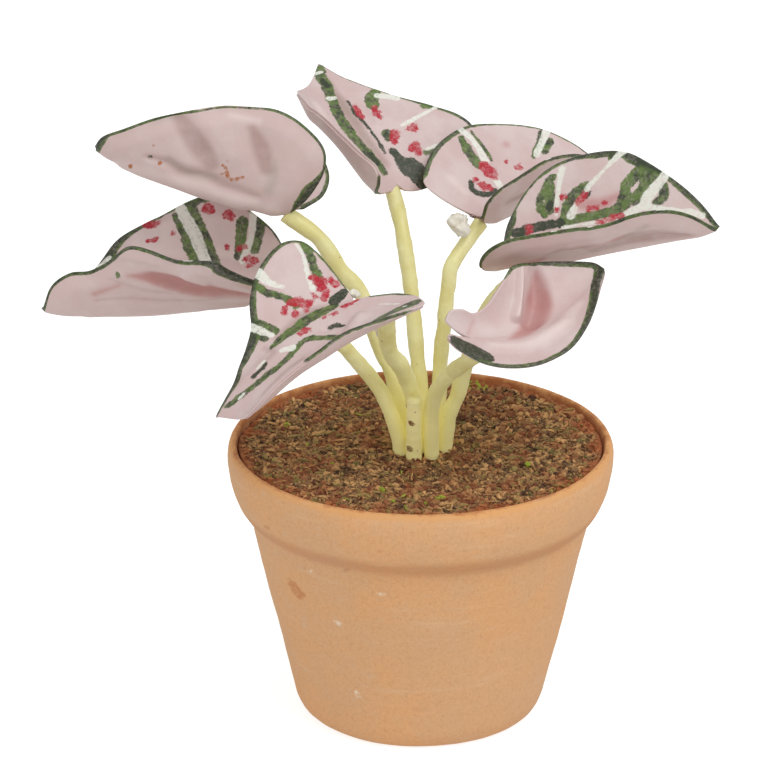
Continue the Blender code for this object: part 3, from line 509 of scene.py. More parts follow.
# Each stem's route from its root at the soil's surface, with its thickness there and at the top as shares of
# STEM_RADIUS.
STEM_RADIUS = 0.64
ROOT_DEPTH = 6.0
JOINT_OVERLAP = 0.45
STEMS = {
    "left": {
        "route": (
            (-1.6, -1.4, 23.2), (-2.0, -1.5, 25.4), (-3.35, -1.6, 28.85), (-5.55, -1.5, 31.75),
            (-7.4, -1.2, 33.3),
        ),
        "thickness": (1.06, 0.92),
    },
    "upper_left": {
        "route": (
            (-1.55, 0.15, 23.2), (-1.8, 0.2, 26.4), (-2.4, 0.3, 29.7), (-3.4, 0.5, 31.9), (-4.8, 0.9, 36.2),
            (-6.7, 1.2, 38.5), (-8.3, 1.5, 40.95),
        ),
        "thickness": (1.0, 1.1),
    },
    "front_left": {
        "route": (
            (-0.1, -0.9, 23.2), (-0.3, -1.0, 26.2), (-0.7, -1.6, 28.5), (-1.55, -2.9, 31.3),
            (-2.65, -4.5, 33.8),
        ),
        "thickness": (1.05, 1.15),
    },
    "top": {
        "route": (
            (0.0, 0.9, 23.2), (0.0, 1.3, 27.8), (-0.3, 2.0, 30.5), (-0.8, 4.0, 35.8), (-1.55, 5.9, 40.3),
        ),
        "thickness": (1.0, 1.0),
    },
    "back_right": {
        "route": (
            (1.55, 0.75, 23.2), (1.55, 1.2, 26.8), (1.7, 2.0, 30.5), (2.0, 2.7, 33.3), (2.3, 3.4, 36.1),
            (2.7, 3.9, 38.0),
        ),
        "thickness": (1.0, 0.95),
    },
    "right": {
        "route": (
            (2.0, -0.9, 23.2), (2.3, -0.9, 26.1), (3.1, -0.9, 28.3), (3.85, -0.8, 31.2), (5.05, -0.6, 34.7),
            (6.5, -0.4, 37.0),
        ),
        "thickness": (1.05, 0.95),
    },
    "front_right": {
        "route": (
            (0.95, -2.2, 23.2), (0.85, -2.5, 26.7), (1.2, -3.2, 29.1), (2.1, -4.2, 31.0), (3.0, -5.0, 32.2),
        ),
        "thickness": (1.0, 1.0),
    },
}
CUT_STEM = {
    "route": ((-0.55, -2.6, 23.2), (-0.55, -3.0, 26.0), (-0.55, -3.4, 28.8)),
    "thickness": (1.02, 0.9),
    "specks": (((-0.8, 26.7, 0.4),), ((-0.9, 24.3, 0.5),), ((-0.5, 27.8, 0.16),)),
}

# Lumps of glue: centre and radius.
GLUE_LUMPS = (((3.25, 4.2, 41.3), 0.85), ((-2.9, -5.3, 35.7), 0.7), ((-5.3, -6.6, 39.3), 0.4))

# Pot
POT_HEIGHT = 23.7
RIM_RADIUS = 16.05
BASE_RADIUS = 10.65
FLOOR_THICKNESS = 2.2
WALL_THICKNESS = 1.6
MOUTH_HEIGHT = 20.2
MOUTH_RADIUS = 14.2
LIP_THICKNESS = 0.75
SMOOTH_CENTRE = 5.0
STAIN_FOOT = 8.0
STAIN_REACH = 0.35
STAIN_FADE = 0.8
CREST_STAIN = 0.9

# Marks on the pot's front: rows of (x, z, width).
POT_MARKS = {
    "chalk_mark": (
        ((-7.0, 12.1, 0.2), (-6.6, 11.9, 0.25)), ((-9.1, 16.6, 0.2),), ((-5.3, 5.3, 0.2), (-5.1, 4.8, 0.1)),
        ((-3.5, 15.8, 0.1), (-3.0, 15.6, 0.15)),
    ),
    "rust_mark": (
        ((1.4, 20.6, 0.2),), ((-10.6, 14.4, 0.6), (-10.0, 13.7, 0.9)), ((4.2, 15.6, 0.4),), ((5.2, 9.6, 0.25),),
        ((-12.6, 19.8, 0.3),),
    ),
}

# Soil
SOIL_TOP = 23.2
SOIL_GAP = 0.3
CRUMB_HEIGHT = 0.4
CRUMB_SIZE = 0.8
CRUMB_CLEARANCE = 0.1
BED_CLEARANCE = 0.05
OLIVE_SHARE = 0.14
MOSS_SHARE = 0.002
PATCH_MOSS_SHARE = 0.45
MOSS_PATCHES = ((4.9, 13.2, 1.0), (-2.0, -11.2, 0.8), (1.4, -11.2, 0.5), (-1.5, -13.2, 0.6), (-11.4, 4.2, 0.7))


# Settings

def screen_colour(red, green, blue):
    """A linear colour from the 0 to 255 values that a screen shows."""
    shares = (red / 255, green / 255, blue / 255)
    return tuple(s / 12.92 if s <= 0.04045 else ((s + 0.055) / 1.055) ** 2.4 for s in shares)


def colour_setting(name, description, *screen):
    return bpy.props.FloatVectorProperty(
        name=name, description=description, subtype="COLOR", default=screen_colour(*screen)
    )


def length_setting(name, description, default):
    return bpy.props.FloatProperty(
        name=name, description=description, default=default, precision=5, subtype="DISTANCE", unit="LENGTH"
    )


def number_setting(name, description, default):
    return bpy.props.IntProperty(name=name, description=description, default=default)


class CaladiumLeafSettings(bpy.types.PropertyGroup):
    clay: colour_setting("Clay", "Pink of the blades' clay", 214, 195, 192)
    clay_deep: colour_setting("Deep clay", "Deeper pink in the clay's clouds", 206, 180, 177)
    # Painted shade: the undersides are mixed towards this browner pink because they face down.
    clay_below_shade: colour_setting("Clay below", "Browner pink of the blades' undersides", 208, 182, 176)
    # Painted shade, laid in the creases and channels.
    clay_painted_shade: colour_setting("Clay shade", "Brown in the clay's creases", 158, 124, 116)
    # Painted shade in deep pink, laid in the folds and recesses.
    clay_pink_shade: colour_setting("Clay blush", "Deep pink in the folds", 184, 120, 116)
    # Grey-green paint smudges, which in the top leaf's channel and under the right leaf stand for painted
    # shade.
    clay_grey_smudge_and_shade: colour_setting("Clay grey", "Grey-green smudges of paint", 156, 148, 134)
    # Painted highlight on the swellings and on faces that other leaves shade.
    clay_painted_highlight: colour_setting("Pale clay", "Palest pink on the swellings", 234, 216, 211)
    green: colour_setting("Green paint", "Olive green of the painted veins and borders", 94, 118, 54)
    green_dark: colour_setting("Dark green paint", "Nearly black green where the paint lies thick", 46, 56, 35)
    white: colour_setting("White paint", "Off-white of the painted veins", 230, 231, 220)
    red: colour_setting("Red paint", "Crimson of the painted spots", 178, 14, 42)
    unevenness: length_setting("Unevenness", "How far the hand-rolled clay rises and falls", 0.05 * MM)


class CaladiumStemSettings(bpy.types.PropertyGroup):
    clay: colour_setting("Clay", "Pale green of the stems", 222, 217, 160)
    clay_warm: colour_setting("Warm clay", "Warmer tone in the stems' clouds", 211, 202, 134)
    cut_clay: colour_setting("Cut stem", "Cream of the cut stem", 248, 236, 184)
    lumpiness: bpy.props.FloatProperty(
        name="Lumpiness", description="How far the stems swell and narrow, as a share of their radius",
        default=0.07, subtype="FACTOR",
    )


class CaladiumSoilSettings(bpy.types.PropertyGroup):
    dark: colour_setting("Dark soil", "Brown of the soil in the gaps", 66, 42, 27)
    light: colour_setting("Light soil", "Tan of the dry crumbs", 212, 166, 108)
    big_crumbs: number_setting("Big crumbs", "Number of the larger crumbs", 2100)
    small_crumbs: number_setting("Small crumbs", "Number of the smaller crumbs", 6000)
    fibres: number_setting("Fibres", "Number of the coir fibres", 1500)


class CaladiumPotSettings(bpy.types.PropertyGroup):
    sides: number_setting("Sides", "Number of faces round the pot", 180)
    clay: colour_setting("Terracotta", "Warm orange of the fired clay", 221, 167, 116)
    chalk: colour_setting("Chalk", "Greyer bloom on the fired clay", 214, 168, 124)
    rust: colour_setting("Rust", "Brown stain along the mouth and in spots", 170, 98, 50)


class CaladiumStageSettings(bpy.types.PropertyGroup):
    elevation: bpy.props.FloatProperty(
        name="Camera elevation", description="How far the camera looks down", default=math.radians(22.0),
        subtype="ANGLE", unit="ROTATION",
    )
    distance: length_setting("Camera distance", "From the camera to the middle of the plant", 0.42)
    target: bpy.props.FloatVectorProperty(
        name="Target", description="Where the camera looks", default=(-0.00302, 0.0, 0.02874),
        subtype="XYZ", unit="LENGTH",
    )
    lens: bpy.props.FloatProperty(name="Lens", description="Focal length in millimetres", default=238.1)


# Modelling helpers

def deselect_all():
    bpy.ops.object.select_all(action="DESELECT")


def take_active(name):
    """The primitive that was just added, under its piece's name."""
    piece = bpy.context.active_object
    piece.name = name
    piece.data.name = name
    return piece


def set_mode(mode):
    bpy.ops.object.mode_set(mode=mode)


def only(piece):
    """Makes a piece the only selected object and the active one."""
    deselect_all()
    piece.select_set(True)
    bpy.context.view_layer.objects.active = piece


def clean_mesh(piece, merge=0.002 * MM):
    """Merges doubled vertices, unless merge is 0, turns the faces outwards and shades them smooth."""
    only(piece)
    set_mode("EDIT")
    bpy.ops.mesh.select_all(action="SELECT")
    if merge:
        bpy.ops.mesh.remove_doubles(threshold=merge)
        bpy.ops.mesh.dissolve_degenerate(threshold=merge * 0.1)
    bpy.ops.mesh.normals_make_consistent(inside=False)
    set_mode("OBJECT")
    bpy.ops.object.shade_smooth()


def positions(mesh):
    values = np.empty(len(mesh.vertices) * 3)
    mesh.vertices.foreach_get("co", values)
    return values.reshape(-1, 3)


def set_positions(mesh, points):
    mesh.vertices.foreach_set("co", np.asarray(points, dtype=float).ravel())
    mesh.update()


def pattern_places(mesh):
    """Where on the flat pattern a blade's vertices lie, as its attributes say."""
    places = np.empty((2, len(mesh.vertices)))
    for name, values in zip(("across", "along"), places):
        mesh.attributes[name].data.foreach_get("value", values)
    return places


def write_attribute(mesh, name, values):
    mesh.attributes.new(name, "FLOAT", "POINT").data.foreach_set("value", np.asarray(values, dtype=float))


def settle(piece, finish, node=None):
    """Gives a finished piece its material and its body, and hides the part of model.glb that it stands for."""
    piece.data.materials.clear()
    piece.data.materials.append(finish)
    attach(piece, "root")
    if node:
        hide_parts(node)


def rising(values, start, reach):
    """Shares that rise from 0 where values are at start to 1 a reach further on."""
    return np.clip((values - start) / reach, 0.0, 1.0)


def eased(shares):
    """Shares clipped between 0 and 1, with a soft start and a soft end."""
    shares = np.clip(shares, 0.0, 1.0)
    return shares**2 * (3.0 - 2.0 * shares)


# Material helpers

def new_material(name):
    made = bpy.data.materials.new(name)
    made.use_nodes = True
    return made, made.node_tree, made.node_tree.nodes["Principled BSDF"]


def node(tree, kind, inputs=(), **settings):
    """A shader node with its settings made, and each input linked or given its value."""
    made = tree.nodes.new(kind)
    for key, value in settings.items():
        setattr(made, key, value)
    for key, value in dict(inputs).items():
        if isinstance(value, bpy.types.NodeSocket):
            tree.links.new(value, made.inputs[key])
        else:
            made.inputs[key].default_value = value
    return made


def maths(tree, operation, first, second=0.5, third=0.5, clamp=False):
    inputs = {0: first, 1: second, 2: third}
    return node(tree, "ShaderNodeMath", inputs, operation=operation, use_clamp=clamp).outputs[0]


def product(tree, first, second):
    return maths(tree, "MULTIPLY", first, second)


def swayed(tree, value, clouds, strength, clamp=False):
    """A value that a noise moves up and down about its middle."""
    return maths(tree, "MULTIPLY_ADD", maths(tree, "SUBTRACT", clouds, 0.5), strength, value, clamp)


def mixed(tree, share, first, second):
    return node(tree, "ShaderNodeMix", {0: share, 6: first, 7: second}, data_type="RGBA").outputs[2]


def layered(tree, colour, layers):
    """A colour with tones laid over it in turn, each by its share."""
    for share, tone in layers:
        colour = mixed(tree, share, colour, tone)
    return colour


def ranged(tree, value, low, high, to_low=0.0, to_high=1.0):
    inputs = {"Value": value, "From Min": low, "From Max": high, "To Min": to_low, "To Max": to_high}
    return node(tree, "ShaderNodeMapRange", inputs, interpolation_type="SMOOTHSTEP").outputs["Result"]


def object_place(tree):
    return node(tree, "ShaderNodeTexCoord").outputs["Object"]


def noise_at(tree, place, scale, detail, roughness):
    inputs = {"Vector": place, "Scale": scale, "Detail": detail, "Roughness": roughness}
    return node(tree, "ShaderNodeTexNoise", inputs).outputs["Fac"]


def object_noise(tree, scale, detail, roughness, offset=(0.0, 0.0, 0.0), stretch=(1.0, 1.0, 1.0)):
    """Noise on Object coordinates, with about scale clouds a millimetre."""
    inputs = {"Vector": object_place(tree), "Location": offset, "Scale": stretch}
    return noise_at(tree, node(tree, "ShaderNodeMapping", inputs).outputs[0], scale / MM, detail, roughness)


def attribute(tree, name):
    return node(tree, "ShaderNodeAttribute", attribute_name=name).outputs["Fac"]


def rgba(colour):
    return (*colour[:3], 1.0)


def screen_rgba(red, green, blue):
    return rgba(screen_colour(red, green, blue))


def finish_shader(tree, shader, colour, roughness, relief=None, strength=0.0, depth=0.0):
    """Sets a shader's colour and roughness and, where it has relief, its bump, depth mm deep."""
    tree.links.new(colour, shader.inputs["Base Color"])
    shader.inputs["Roughness"].default_value = roughness
    if relief is not None:
        bump = node(tree, "ShaderNodeBump", {"Strength": strength, "Distance": depth * MM, "Height": relief})
        tree.links.new(bump.outputs["Normal"], shader.inputs["Normal"])


def new_group(name, inputs, result, kind):
    """A node group with its inputs and one result, its input node's sockets and its result's socket."""
    group = bpy.data.node_groups.new(name, "ShaderNodeTree")
    for label, default in inputs.items():
        sort = "NodeSocketColor" if isinstance(default, tuple) else "NodeSocketFloat"
        group.interface.new_socket(name=label, in_out="INPUT", socket_type=sort).default_value = default
    group.interface.new_socket(name=result, in_out="OUTPUT", socket_type=kind)
    return group, group.nodes.new("NodeGroupInput").outputs, group.nodes.new("NodeGroupOutput").inputs[result]


def clouds_group():
    """Two tones in soft clouds, with a fine grain over them."""
    inputs = {"Light": (1, 1, 1, 1), "Deep": (0.5, 0.5, 0.5, 1), "Clouds per mm": 0.3, "Grain": 0.05}
    group, start, end = new_group("clay_clouds", inputs, "Colour", "NodeSocketColor")
    scale = maths(group, "DIVIDE", start["Clouds per mm"], MM)
    share = ranged(group, noise_at(group, object_place(group), scale, 4.0, 0.6), 0.32, 0.68)
    base = mixed(group, share, start["Light"], start["Deep"])
    gain = swayed(group, 1.0, object_noise(group, 7.0, 2.0, 0.7), start["Grain"])
    bright = node(group, "ShaderNodeVectorMath", {0: base, "Scale": gain}, operation="SCALE").outputs[0]
    group.links.new(bright, end)
    return group


def brush_group():
    """A brush mark's mask from how far inside the mark a point lies, in millimetres, with a ragged edge."""
    inputs = {"Inside": 0.0, "Ragged": 0.15, "Soft": 0.05, "Cover": 1.0}
    group, start, end = new_group("brush_mark", inputs, "Mask", "NodeSocketFloat")
    wide = maths(group, "MULTIPLY_ADD", start["Ragged"], 0.1, start["Inside"])
    coarse = object_noise(group, 1.3, 6.0, 0.72, offset=(0.013, 0.021, 0.007))
    moved = swayed(group, wide, coarse, start["Ragged"])
    mask = ranged(group, moved, product(group, start["Soft"], -1.0), start["Soft"])
    streaks = object_noise(group, 3.5, 5.0, 0.75, offset=(0.003, 0.001, 0.017))
    thin = ranged(group, streaks, 0.34, 0.56, start["Cover"], 1.0)
    group.links.new(product(group, mask, thin), end)
    return group


def use_group(tree, name, build, inputs):
    """The result of a node group, which is built where it is first used."""
    group = bpy.data.node_groups.get(name) or build()
    return node(tree, "ShaderNodeGroup", inputs, node_tree=group).outputs[0]


def clay_clouds(tree, light, deep, clouds, grain):
    inputs = {"Light": light, "Deep": deep, "Clouds per mm": clouds, "Grain": grain}
    return use_group(tree, "clay_clouds", clouds_group, inputs)


def brush_mark(tree, name, ragged, soft, cover):
    """The mask of the marks whose distances an attribute holds."""
    inputs = {"Inside": attribute(tree, name), "Ragged": ragged, "Soft": soft, "Cover": cover}
    return use_group(tree, "brush_mark", brush_group, inputs)


# Materials

def leaf_material(settings):
    made, tree, shader = new_material("painted_leaf_clay")
    clay = clay_clouds(tree, rgba(settings.clay), rgba(settings.clay_deep), 0.28, 0.1)
    mottle = object_noise(tree, 0.55, 4.0, 0.6, offset=(0.02, 0.005, 0.013))
    # The undersides, which face down, are mottled towards a browner pink: painted shade.
    below = product(tree, attribute(tree, "underside"), ranged(tree, mottle, 0.35, 0.65, 0.25, 0.75))
    clay = mixed(tree, below, clay, rgba(settings.clay_below_shade))
    # Tones from the strokes: painted shade in brown and in deep pink, grey-green paint smudges that in places
    # also stand for painted shade, and a pale painted highlight.
    for name, tone, strength in (
        ("shade", settings.clay_painted_shade, 0.62),
        ("pink_shade", settings.clay_pink_shade, 0.75),
        ("grey", settings.clay_grey_smudge_and_shade, 0.45),
        ("light", settings.clay_painted_highlight, 0.6),
    ):
        patchy = ranged(tree, mottle, 0.2, 0.7, 0.6 * strength, strength)
        clay = mixed(tree, product(tree, attribute(tree, name), patchy), clay, rgba(tone))
    dark_green = rgba(settings.green_dark)
    thick = object_noise(tree, 1.1, 4.0, 0.65, offset=(0.004, 0.009, 0.002))
    green = mixed(tree, ranged(tree, thick, 0.36, 0.6), dark_green, rgba(settings.green))
    pale = object_noise(tree, 3.4, 2.0, 0.6, offset=(0.031, 0.002, 0.011))
    pale_green = rgba([min(value * 1.6, 1.0) for value in settings.green])
    green = mixed(tree, ranged(tree, pale, 0.64, 0.84), green, pale_green)
    depth = swayed(tree, attribute(tree, "edge"), thick, 1.2)
    border = mixed(tree, ranged(tree, depth, 0.05, 0.4), green, dark_green)
    faded_red = rgba([0.65 * first + 0.35 * second for first, second in zip(settings.red, settings.clay)])
    red = mixed(tree, ranged(tree, thick, 0.5, 0.7), rgba(settings.red), faded_red)
    colour = layered(tree, clay, (
        (brush_mark(tree, "green", 0.8, 0.06, 0.78), green),
        (brush_mark(tree, "dark", 0.8, 0.06, 0.85), dark_green),
        (brush_mark(tree, "edge", 0.3, 0.05, 0.8), border),
        (brush_mark(tree, "white", 0.5, 0.06, 0.5), rgba(settings.white)),
        (brush_mark(tree, "red", 1.3, 0.08, 0.6), red),
        (brush_mark(tree, "rust", 0.2, 0.05, 0.5), screen_rgba(176, 110, 70)),
    ))
    finish_shader(tree, shader, colour, 0.5, object_noise(tree, 5.0, 4.0, 0.6), 0.35, 0.03)
    return made


def stem_material(name, light, warm, speckle):
    made, tree, shader = new_material(name)
    height = node(tree, "ShaderNodeSeparateXYZ", {0: object_place(tree)}).outputs["Z"]
    spots = object_noise(tree, 2.2, 2.0, 0.5, offset=(0.011, 0.003, 0.019))
    brown = screen_rgba(120, 80, 46)
    colour = layered(tree, clay_clouds(tree, rgba(light), rgba(warm), 0.45, 0.12), (
        # Paler towards the soil, where the leaves shade the stems: painted light.
        (ranged(tree, height, 33 * MM, 24 * MM, 0.0, 0.9), screen_rgba(250, 242, 166)),
        (ranged(tree, spots, 0.74 - speckle, 0.8 - speckle), brown),
        (brush_mark(tree, "speck", 0.4, 0.05, 0.5), brown),
    ))
    # The stems glow faintly in their own colour: painted light that softens their shading.
    tree.links.new(colour, shader.inputs["Emission Color"])
    shader.inputs["Emission Strength"].default_value = 0.1
    relief = object_noise(tree, 3.0, 4.0, 0.6, stretch=(1.0, 1.0, 0.4))
    finish_shader(tree, shader, colour, 0.42, relief, 0.4, 0.04)
    return made


def terracotta_material(settings):
    made, tree, shader = new_material("terracotta_clay")
    place = node(tree, "ShaderNodeSeparateXYZ", {0: object_place(tree)}).outputs
    height = place["Z"]
    chalky = object_noise(tree, 1.3, 5.0, 0.75, offset=(0.02, 0.0, 0.01))
    # The chalky bloom grows stronger towards the left side, where it stands for painted shade; the bloom itself
    # is the clay's own.
    west_shade = ranged(tree, place["X"], 6 * MM, -14 * MM)
    bloom = product(tree, ranged(tree, chalky, 0.5, 0.78), maths(tree, "MULTIPLY_ADD", west_shade, 0.5, 0.15))
    # A darker orange-brown band in the groove under the rim: painted shade.
    groove_foot = ranged(tree, height, 17.3 * MM, 18.4 * MM)
    groove_top = ranged(tree, height, 19.6 * MM, 18.7 * MM)
    grit = object_noise(tree, 3.2, 4.0, 0.8, offset=(0.03, 0.01, 0.0))
    frayed = object_noise(tree, 0.7, 5.0, 0.7, offset=(0.0, 0.03, 0.0))
    stained = swayed(tree, attribute(tree, "stain"), frayed, 2.0)
    spots = object_noise(tree, 0.42, 2.0, 0.5, offset=(0.007, 0.013, 0.003))
    wiped = object_noise(tree, 0.5, 3.0, 0.6, offset=(0.01, 0.0, 0.03), stretch=(0.25, 0.25, 2.2))
    rust = rgba(settings.rust)
    colour = layered(tree, clay_clouds(tree, rgba(settings.clay), rgba(settings.chalk), 0.14, 0.34), (
        (bloom, screen_rgba(206, 180, 150)),
        # Painted shade in the groove.
        (product(tree, product(tree, groove_foot, groove_top), 0.42), screen_rgba(176, 112, 66)),
        (ranged(tree, grit, 0.46, 0.7, 0.0, 0.34), screen_rgba(192, 130, 82)),
        (ranged(tree, height, 23.0 * MM, 23.5 * MM, 0.0, 0.6), screen_rgba(220, 160, 96)),
        (ranged(tree, stained, 0.1, 0.8, 0.0, 0.85), rust),
        (ranged(tree, spots, 0.71, 0.8, 0.0, 0.6), rust),
        (ranged(tree, wiped, 0.55, 0.8, 0.0, 0.35), screen_rgba(226, 190, 152)),
        (brush_mark(tree, "chalk_mark", 0.9, 0.14, 0.2), screen_rgba(236, 220, 198)),
        (brush_mark(tree, "rust_mark", 0.9, 0.14, 0.2), screen_rgba(198, 134, 86)),
    ))
    finish_shader(tree, shader, colour, 0.88, object_noise(tree, 3.2, 5.0, 0.7), 0.5, 0.05)
    return made


def soil_material(settings):
    made, tree, shader = new_material("potting_soil")
    fine = object_noise(tree, 3.4, 4.0, 0.75)
    warm = object_noise(tree, 0.5, 3.0, 0.6, offset=(0.01, 0.02, 0.0))
    inputs = {0: object_place(tree), 1: (1.0, 1.0, 0.0)}
    flat = node(tree, "ShaderNodeVectorMath", inputs, operation="MULTIPLY").outputs[0]
    radius = node(tree, "ShaderNodeVectorMath", {0: flat}, operation="LENGTH").outputs["Value"]
    edge = swayed(tree, radius, warm, 3 * MM)
    colour = layered(tree, rgba(settings.dark), (
        (swayed(tree, attribute(tree, "tint"), fine, 1.6, clamp=True), rgba(settings.light)),
        (ranged(tree, warm, 0.42, 0.66, 0.0, 0.65), screen_rgba(150, 80, 46)),
        (ranged(tree, edge, 13.7 * MM, 15.2 * MM, 0.0, 0.75), screen_rgba(172, 96, 52)),
        (attribute(tree, "olive"), screen_rgba(134, 126, 68)),
        (attribute(tree, "moss"), screen_rgba(158, 176, 52)),
    ))
    finish_shader(tree, shader, colour, 0.95, fine, 0.8, 0.12)
    return made


def glue_material():
    made, tree, shader = new_material("joint_glue")
    colour = clay_clouds(tree, screen_rgba(244, 241, 230), screen_rgba(228, 219, 200), 0.9, 0.1)
    finish_shader(tree, shader, colour, 0.3)
    shader.inputs["Alpha"].default_value = 0.8
    return made


# Leaf shape

def along_three(values, share):
    """The value at a share of the way from the lobe over the middle to the tip."""
    return np.interp(share, (0.0, 0.5, 1.0), values)


def smooth_points(points, shares):
    """Points at shares of a smooth curve that passes through the given points."""
    knots = np.array(points, dtype=float)
    ends = np.vstack((2 * knots[0] - knots[1], knots, 2 * knots[-1] - knots[-2]))
    place = np.asarray(shares, dtype=float) * (len(knots) - 1)
    index = np.minimum(place.astype(int), len(knots) - 2)
    t = (place - index)[:, None]
    before, start, end, after = (ends[index + step] for step in range(4))
    bend = (2 * before - 5 * start + 4 * end - after) * t**2
    swing = (3 * start - before - 3 * end + after) * t**3
    return 0.5 * (2 * start + (end - before) * t + bend + swing)


def leaf_axes(leaf):
    """Where the leaf starts, its right, forward and up directions, and its length along its arch."""
    notch, tip = Vector(leaf["notch"]), Vector(leaf["tip"])
    forward = (tip - notch).normalized()
    right = forward.cross(Vector((0.0, 0.0, 1.0))).normalized()
    right.rotate(Matrix.Rotation(math.radians(leaf["roll"]), 3, forward))
    bend = math.radians(leaf["arch"])
    length = (tip - notch).length * (bend / 2) / math.sin(bend / 2)
    return np.array(notch), np.array(right), np.array(forward), np.array(right.cross(forward)), length


def half_edge(blade_half, length, shares):
    """How far across and along the pattern a half's edge lies, at shares of the way from notch to tip."""
    edge = smooth_points((*blade_half["outline"], (0.0, length)), shares)
    return np.maximum(edge[:, 0], 0.0), edge[:, 1]


def on_side(values, side):
    return (values < 0) == (side < 0)


def pattern_points(leaf, length, u, t):
    """Flat (across, along) of grid places: u runs from the left edge to the right one, t from notch to tip."""
    rib = length * (FIRST_ROW_SHARE * t + (1.0 - FIRST_ROW_SHARE) * t**ROW_SPREAD)
    share_out = 1.0 - (1.0 - np.abs(u)) ** COLUMN_CROWDING
    across, along = np.empty((2, len(u)))
    for side, name in SIDES:
        mine = on_side(u, side)
        edge_across, edge_along = half_edge(leaf[name], length, t[mine])
        across[mine] = side * edge_across * share_out[mine]
        along[mine] = rib[mine] + (edge_along - rib[mine]) * share_out[mine]
    return across, along


def cross_section(blade_half, across, share, wave_turn):
    """How far outwards and upwards a point lies that is across mm from the midrib on the folded half."""
    width = max(point[0] for point in blade_half["outline"])
    fold = np.radians(along_three(blade_half["fold"], share))
    curl = np.radians(along_three(blade_half["curl"], share))
    outwards, upwards = np.zeros((2, len(across)))
    for step in range(SECTION_STEPS):
        reach = across * (step + 0.5) / SECTION_STEPS
        bend = fold * (1.0 - np.exp(-reach / CREASE_ROUNDING)) + curl * reach / width
        outwards += np.cos(bend) * across / SECTION_STEPS
        upwards += np.sin(bend) * across / SECTION_STEPS
    height, waves, shift = blade_half["wave"]
    lift = (across / width) ** 2 * height * np.sin(FULL_TURN * (waves * wave_turn + shift))
    bend = fold + curl * across / width
    return outwards - np.sin(bend) * lift, upwards + np.cos(bend) * lift


def folded_points(leaf, axes, across, along):
    """Where points of the flat pattern lie once the blade is folded, curled and arched."""
    notch, right, forward, up, length = axes
    sideways, upwards = np.zeros((2, len(across)))
    for side, name in SIDES:
        mine = on_side(across, side)
        lobe = -min(point[1] for point in leaf[name]["outline"])
        share = np.clip((along[mine] + lobe) / (length + lobe), 0.0, 1.0)
        out, lift = cross_section(leaf[name], np.abs(across[mine]), share, along[mine] / length)
        sideways[mine] = side * out
        upwards[mine] = lift
    bend = math.radians(leaf["arch"])
    slope = bend * (0.5 - along / length)
    run = (math.sin(bend / 2) - np.sin(slope)) * length / bend - upwards * np.sin(slope)
    rise = (np.cos(slope) - math.cos(bend / 2)) * length / bend + upwards * np.cos(slope)
    return notch + np.outer(sideways, right) + np.outer(run, forward) + np.outer(rise, up)


def surface_normals(leaf, axes, across, along, step=0.05):
    """The painted face's upward direction at points of the pattern."""
    ahead = folded_points(leaf, axes, across, along + step) - folded_points(leaf, axes, across, along - step)
    aside = folded_points(leaf, axes, across + step, along) - folded_points(leaf, axes, across - step, along)
    normals = np.cross(aside, ahead)
    return normals / np.linalg.norm(normals, axis=1)[:, None]


def inside_line(x, y, path):
    """How far inside a line of changing width points lie, in mm. path is rows of (x, y, reach to each side)."""
    best = np.full(len(x), FAR_OUTSIDE)
    for (ax, ay, aw), (bx, by, bw) in zip(path, path[1:]):
        dx, dy = bx - ax, by - ay
        reach = max(dx * dx + dy * dy, 1e-9)
        share = np.clip(((x - ax) * dx + (y - ay) * dy) / reach, 0.0, 1.0)
        away = np.hypot(x - ax - dx * share, y - ay - dy * share)
        best = np.maximum(best, (aw + (bw - aw) * share) - away)
    return best


def inside_strokes(x, y, strokes):
    """How far inside any of the brush strokes points lie, in mm."""
    best = np.full(len(x), FAR_OUTSIDE)
    for stroke in strokes:
        path = np.array(stroke, dtype=float)
        path[:, 2] /= 2.0
        if len(path) > 2:
            path = smooth_points(path, np.linspace(0.0, 1.0, 5 * len(path)))
        if len(path) == 1:
            path = np.vstack((path, path))
        best = np.maximum(best, inside_line(x, y, path))
    return best


def edge_rows(leaf, length, side, widths=((0, 0), (1, 0)), samples=150):
    """The blade half's outline as a line whose width is the painted border's."""
    shares = np.linspace(0.0, 1.0, samples)
    across, along = half_edge(leaf[dict(SIDES)[side]], length, shares)
    return np.column_stack((side * across, along, np.interp(shares, *zip(*widths))))


def edge_distance(leaf, length, x, y):
    """Distance from points of the pattern to the blade's edge, in mm."""
    left, right = (edge_rows(leaf, length, side) for side, _ in SIDES)
    notch = np.array([left[0], (0.0, 0.0, 0.0), right[0]])
    return -np.maximum.reduce([inside_line(x, y, path) for path in (left, right, notch)])


def gentle_waves(x, y, seed):
    """A smooth unevenness between about -1 and 1 over the pattern, from seeded sine waves."""
    draw = random.Random(seed)
    total = np.zeros_like(x)
    for _ in range(WAVE_COUNT):
        angle = draw.uniform(0.0, FULL_TURN)
        turn = FULL_TURN / draw.uniform(*WAVE_LENGTHS)
        wave = np.sin(turn * (x * math.cos(angle) + y * math.sin(angle)) + draw.uniform(0.0, DRAWN_TURN))
        total += wave / turn
    return total / WAVE_COUNT * WAVE_GAIN


def all_strokes(name, kind):
    """A leaf's strokes of one paint, with those of its seen half repeated on the half that is turned away."""
    source = "left" if name == "upper_left" else name
    strokes = PAINT[source].get(kind, ())
    if source in ("left", "back_right", "right"):
        strokes += tuple(tuple((-x, y, width) for x, y, width in stroke) for stroke in strokes)
    return strokes


def soft_strokes(x, y, strokes):
    """A tone between 0 and 1 that is strongest along the middle of its strokes."""
    return eased(inside_strokes(x, y, strokes) / TONE_REACH)


def folds(x, y, rows):
    """How far the clay swells by its folds, in mm."""
    total = np.zeros(len(x))
    for height, stroke in rows:
        half_width = max(point[2] for point in stroke) / 2.0
        total += height * eased(inside_strokes(x, y, (stroke,)) / half_width)
    return total


